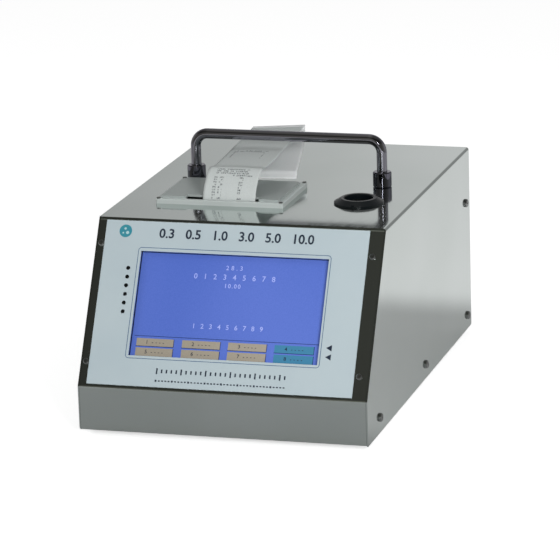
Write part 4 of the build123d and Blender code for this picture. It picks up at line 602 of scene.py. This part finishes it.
def printedReceipt():
    # thermal paper, coated, calendered and heat printed: matt, slightly cool white, with grey broken characters
    material, tree, shader, coords = startMaterial("printedThermalPaper", Roughness=0.75, IOR=1.5)
    spot = add(tree, "ShaderNodeSeparateXYZ", links={"Vector": (coords, "UV")})
    letter = add(tree, "ShaderNodeCombineXYZ")
    letters = add(tree, "ShaderNodeTexWhiteNoise", {"noise_dimensions": "2D"}, links={"Vector": (letter, "Vector")})
    dot = add(tree, "ShaderNodeCombineXYZ")
    dots = add(tree, "ShaderNodeTexWhiteNoise", {"noise_dimensions": "2D"}, links={"Vector": (dot, "Vector")})
    wide, tall = receipt["letter"]
    wideFill, tallFill = receipt["letterFill"]
    steps = [
        ("across", "MULTIPLY", "u", 100.0), ("along", "MULTIPLY", "v", 100.0),
        ("letterU", "DIVIDE", "across", wide), ("letterV", "DIVIDE", "along", tall),
        ("letterX", "FLOOR", "letterU"), ("letterY", "FLOOR", "letterV"),
        ("dotU", "DIVIDE", "across", receipt["dot"]), ("dotV", "DIVIDE", "along", receipt["dot"]),
        ("dotX", "FLOOR", "dotU"), ("dotY", "FLOOR", "dotV"),
        ("inX", "FRACT", "letterU"), ("inY", "FRACT", "letterV"),
        ("filledX", "LESS_THAN", "inX", wideFill), ("filledY", "LESS_THAN", "inY", tallFill),
        ("usedLetter", "LESS_THAN", "letters", receipt["lettersUsed"]),
        ("usedDot", "LESS_THAN", "dots", receipt["dotsUsed"]),
        ("filled", "MULTIPLY", "filledX", "filledY"), ("used", "MULTIPLY", "usedLetter", "usedDot"),
        ("glyph", "MULTIPLY", "filled", "used"),
        ("backSide", "GREATER_THAN", "along", strip["crease"]),
    ]
    for i, (low, high, left, right) in enumerate(receipt["zones"]):
        steps += [("a", "GREATER_THAN", "along", low), ("b", "LESS_THAN", "along", high),
                  ("c", "GREATER_THAN", "across", left), ("d", "LESS_THAN", "across", right),
                  ("rows", "MULTIPLY", "a", "b"), ("columns", "MULTIPLY", "c", "d"),
                  ("zone", "MULTIPLY", "rows", "columns"),
                  ("zones", "MAXIMUM", "zones" if i else "zone", "zone")]
    steps.append(("inked", "MULTIPLY", "zones", "glyph"))
    sums = {"u": (spot, "X"), "v": (spot, "Y"), "letters": (letters, "Value"), "dots": (dots, "Value")}
    for title, operation, *terms in steps:
        inputs = {i: term for i, term in enumerate(terms) if not isinstance(term, str)}
        links = {i: sums[term] for i, term in enumerate(terms) if isinstance(term, str)}
        sums[title] = (add(tree, "ShaderNodeMath", {"operation": operation}, inputs, links), "Value")
    for made, kind in ((letter, "letter"), (dot, "dot")):
        for axis in "XY":
            tree.links.new(sums[kind + axis][0].outputs["Value"], made.inputs[axis])
    fibre = add(tree, "ShaderNodeTexNoise", inputs={"Scale": receipt["fibreScale"], "Detail": 2.0},
                links={"Vector": (coords, "Object")})
    # beyond the crease the uncoated back shows; it is drawn whiter, partly as the back's own colour and partly as
    # painted light on the returning leaf, which lies in the shade of the leaf above
    front, back = (add(tree, "ShaderNodeValToRGB", links={"Fac": (fibre, "Fac")},
                       stops=[(0.3, linear(dark)), (0.7, linear(pale))])
                   for dark, pale in (receipt["front"], receipt["back"]))
    paper = add(tree, "ShaderNodeMix", {"data_type": "RGBA"},
                links={0: sums["backSide"], 6: (front, "Color"), 7: (back, "Color")})
    mixed = add(tree, "ShaderNodeMix", {"data_type": "RGBA"}, {7: linear(receipt["ink"])},
                {0: sums["inked"], 6: (paper, 2)})
    relief = add(tree, "ShaderNodeBump",
                 inputs={"Strength": receipt["reliefStrength"], "Distance": receipt["reliefDepth"]},
                 links={"Height": (fibre, "Fac")})
    tree.links.new(mixed.outputs[2], shader.inputs["Base Color"])
    tree.links.new(relief.outputs["Normal"], shader.inputs["Normal"])
    return material


finishes["printedThermalPaper"] = printedReceipt()
makeStrip()
print("strip made")

# floor and light, in metres; levels are grey values, and the mirror lists hold (height or sideways place, level)
studio = {
    "floorSize": 6.0, "floorNear": 0.5, "floorFar": 0.98, "fadeFrom": -0.2, "fadeTo": -0.1,
    # painted light: from 0.195 to 0.285 m out the mirrored floor gains a glow up to 0.33, leaving painted shadow
    # next to the object
    "paintedLightFrom": 0.195, "paintedLightTo": 0.285, "glow": 0.33, "sheetEdge": 0.42, "sheetSoft": 0.2,
    "seenGlow": 0.62, "skyLevel": 0.30,
    "mirrorFront": [(0.0, 0.24), (0.44, 0.22), (0.56, 0.05), (0.76, 0.07), (1.0, 0.3)],
    "frontTint": (1.0, 0.99, 0.86), "turnFrom": -0.4, "turnTo": 0.85,
    "mirrorAcross": [(-1.0, 0.9), (-0.7, 0.5), (-0.34, 0.62), (-0.28, 0.78), (-0.22, 1.0), (-0.08, 1.0),
                     (0.12, 0.42), (0.7, 0.45), (1.0, 0.9)],
    "mirrorBack": [(0.0, 0.70), (0.32, 0.68), (0.62, 0.45), (0.85, 0.34), (1.0, 0.3)],
}
softly = {"interpolation_type": "SMOOTHSTEP"}


def mirroredOnly(tree):
    # 1 for the rays by which metal and glass see the room
    rays = add(tree, "ShaderNodeLightPath")
    reflected = add(tree, "ShaderNodeMath", {"operation": "MAXIMUM"},
                    links={0: (rays, "Is Glossy Ray"), 1: (rays, "Is Transmission Ray")})
    return rays, reflected


def makeFloor():
    # matt background paper: grey in front of the object, white at the sides and behind, as the metal mirrors it;
    # that white is partly painted light, a glow on the floor away from the object, so the floor next to it stays
    # darker as painted shadow
    material, tree, shader, coords = startMaterial("mattePaperFloor", Roughness=0.9, IOR=1.3)
    mesh = bpy.data.meshes.new("floor")
    half = studio["floorSize"] / 2
    mesh.from_pydata([(-half, -half, 0), (half, -half, 0), (half, half, 0), (-half, half, 0)], [], [(0, 1, 2, 3)])
    mesh.materials.append(material)
    made = bpy.data.objects.new("floor", mesh)
    bpy.context.scene.collection.objects.link(made)
    parts = add(tree, "ShaderNodeSeparateXYZ", links={"Vector": (coords, "Object")})
    fade = add(tree, "ShaderNodeMapRange", softly,
               {1: studio["fadeFrom"], 2: studio["fadeTo"], 3: studio["floorNear"], 4: studio["floorFar"]},
               {0: (parts, "Y")})
    tree.links.new(fade.outputs["Result"], shader.inputs["Base Color"])
    aside = add(tree, "ShaderNodeMath", {"operation": "ABSOLUTE"}, links={0: (parts, "X")})
    outer = add(tree, "ShaderNodeMath", {"operation": "MAXIMUM"}, links={0: (aside, "Value"), 1: (parts, "Y")})
    # painted light for mirrored rays: a glow on the floor beyond about 0.2 m from the middle, fading out past 0.42
    # m to each side; the floor inside it stays darker as painted shadow of the object
    paintedLightAwayFromObject = add(tree, "ShaderNodeMapRange", softly,
                    {1: studio["paintedLightFrom"], 2: studio["paintedLightTo"], 3: 0.0, 4: studio["glow"]},
                    {0: (outer, "Value")})
    sheet = add(tree, "ShaderNodeMapRange", softly,
                {1: studio["sheetEdge"], 2: studio["sheetEdge"] + studio["sheetSoft"], 3: 1.0, 4: 0.0},
                {0: (aside, "Value")})
    paintedFloorLight = add(tree, "ShaderNodeMath", {"operation": "MULTIPLY"},
                    links={0: (paintedLightAwayFromObject, "Result"), 1: (sheet, "Result")})
    paintedLightEmission = add(tree, "ShaderNodeEmission", links={"Strength": (paintedFloorLight, "Value")})
    mirroredFloor = add(tree, "ShaderNodeAddShader", links={0: (shader, 0), 1: (paintedLightEmission, 0)})
    # the camera sees white wherever the light falls freely, and the soft shadow under the object
    white = add(tree, "ShaderNodeBsdfDiffuse", inputs={"Color": (1, 1, 1, 1)})
    glow = add(tree, "ShaderNodeEmission", inputs={"Strength": studio["seenGlow"]})
    lifted = add(tree, "ShaderNodeAddShader", links={0: (white, 0), 1: (glow, 0)})
    rays, reflected = mirroredOnly(tree)
    indirect = add(tree, "ShaderNodeMixShader",
                   links={"Fac": (reflected, "Value"), 1: (shader, 0), 2: (mirroredFloor, 0)})
    seen = add(tree, "ShaderNodeMixShader",
               links={"Fac": (rays, "Is Camera Ray"), 1: (indirect, 0), 2: (lifted, 0)})
    tree.links.new(seen.outputs[0], tree.nodes["Material Output"].inputs["Surface"])


def makeWorld():
    world = bpy.data.worlds.new("studioAir")
    bpy.context.scene.world = world
    world.use_nodes = True
    tree = world.node_tree
    base = tree.nodes["Background"]
    base.inputs["Color"].default_value = (1, 1, 1, 1)
    base.inputs["Strength"].default_value = studio["skyLevel"]
    coords = add(tree, "ShaderNodeTexCoord")
    parts = add(tree, "ShaderNodeSeparateXYZ", links={"Vector": (coords, "Generated")})
    # what polished metal mirrors: a pale wall behind, and a dark room in front and above
    red, green, blue = studio["frontTint"]
    front = add(tree, "ShaderNodeValToRGB", links={"Fac": (parts, "Z")},
                stops=[(z, (v * red, v * green, v * blue, 1.0)) for z, v in studio["mirrorFront"]])
    rear = add(tree, "ShaderNodeValToRGB", links={"Fac": (parts, "Z")},
               stops=[(z, grey(v)) for z, v in studio["mirrorBack"]])
    turn = add(tree, "ShaderNodeMapRange", softly, {1: studio["turnFrom"], 2: studio["turnTo"], 3: 0.0, 4: 1.0},
               {0: (parts, "Y")})
    level = add(tree, "ShaderNodeMix", {"data_type": "RGBA"},
                links={0: (turn, "Result"), 6: (front, "Color"), 7: (rear, "Color")})
    # the wall behind is a little darker towards the left, and a dark doorway stands to the right
    sideways = add(tree, "ShaderNodeMapRange", inputs={1: -1.0, 2: 1.0}, links={0: (parts, "X")})
    side = add(tree, "ShaderNodeValToRGB", links={"Fac": (sideways, "Result")},
               stops=[((x + 1) / 2, grey(v)) for x, v in studio["mirrorAcross"]])
    shine = add(tree, "ShaderNodeBackground", links={"Strength": (side, "Color"), "Color": (level, 2)})
    rays, reflected = mirroredOnly(tree)
    mirrored = add(tree, "ShaderNodeMixShader", links={"Fac": (reflected, "Value"), 1: (base, 0), 2: (shine, 0)})
    plain = add(tree, "ShaderNodeBackground", inputs={"Color": (1, 1, 1, 1), "Strength": 1.0})
    seen = add(tree, "ShaderNodeMixShader", links={"Fac": (rays, "Is Camera Ray"), 1: (mirrored, 0), 2: (plain, 0)})
    tree.links.new(seen.outputs[0], tree.nodes["World Output"].inputs["Surface"])


# place, what it points at, width and height of the panel in metres, watts, and whether metal mirrors it
lamps = {
    "frontLamp": ((0.9, -1.35, 0.6), (0, 0, 0.1), (0.5, 0.4), 16.0, False),
    "leftLamp": ((-1.3, -0.7, 1.5), (0, 0, 0.1), (0.8, 0.8), 6.0, False),
    "cameraLamp": ((0.72, -2.4, 0.85), (0, 0, 0.15), (0.09, 0.5), 2.2, True),
}


def softLamp(name, spot, aim, size, power, glossy):
    light = bpy.data.lights.new(name, "AREA")
    light.shape = "RECTANGLE"
    light.size, light.size_y = size
    light.energy = power
    made = bpy.data.objects.new(name, light)
    made.location = spot
    made.rotation_euler = (Vector(spot) - Vector(aim)).to_track_quat("Z", "Y").to_euler()
    made.visible_glossy = glossy
    bpy.context.scene.collection.objects.link(made)


makeFloor()
makeWorld()
for name, values in lamps.items():
    softLamp(name, *values)

# camera, aimed by heading, height and roll in degrees
view = {"spot": (0.8012, -2.71026, 0.8522), "heading": 16.542, "height": 15.218, "roll": -1.747,
        "lens": 229.55, "sensor": 36.0, "reach": 30.0}
heading, height, roll = (math.radians(view[k]) for k in ("heading", "height", "roll"))
back = Vector((math.sin(heading) * math.cos(height), -math.cos(heading) * math.cos(height), math.sin(height)))
right = (-back).cross(Vector((0, 0, 1))).normalized()
upward = right.cross(-back)
across = right * math.cos(roll) + upward * math.sin(roll)
raised = upward * math.cos(roll) - right * math.sin(roll)
camera = bpy.data.objects.new("camera", bpy.data.cameras.new("camera"))
camera.data.lens = view["lens"]
camera.data.sensor_width = view["sensor"]
camera.data.clip_end = view["reach"]
placeOfCamera = Matrix((across, raised, back)).transposed().to_4x4()
placeOfCamera.translation = Vector(view["spot"])
camera.matrix_world = placeOfCamera
bpy.context.scene.collection.objects.link(camera)
bpy.context.scene.camera = camera
print("studio set")

bpy.context.view_layer.update()
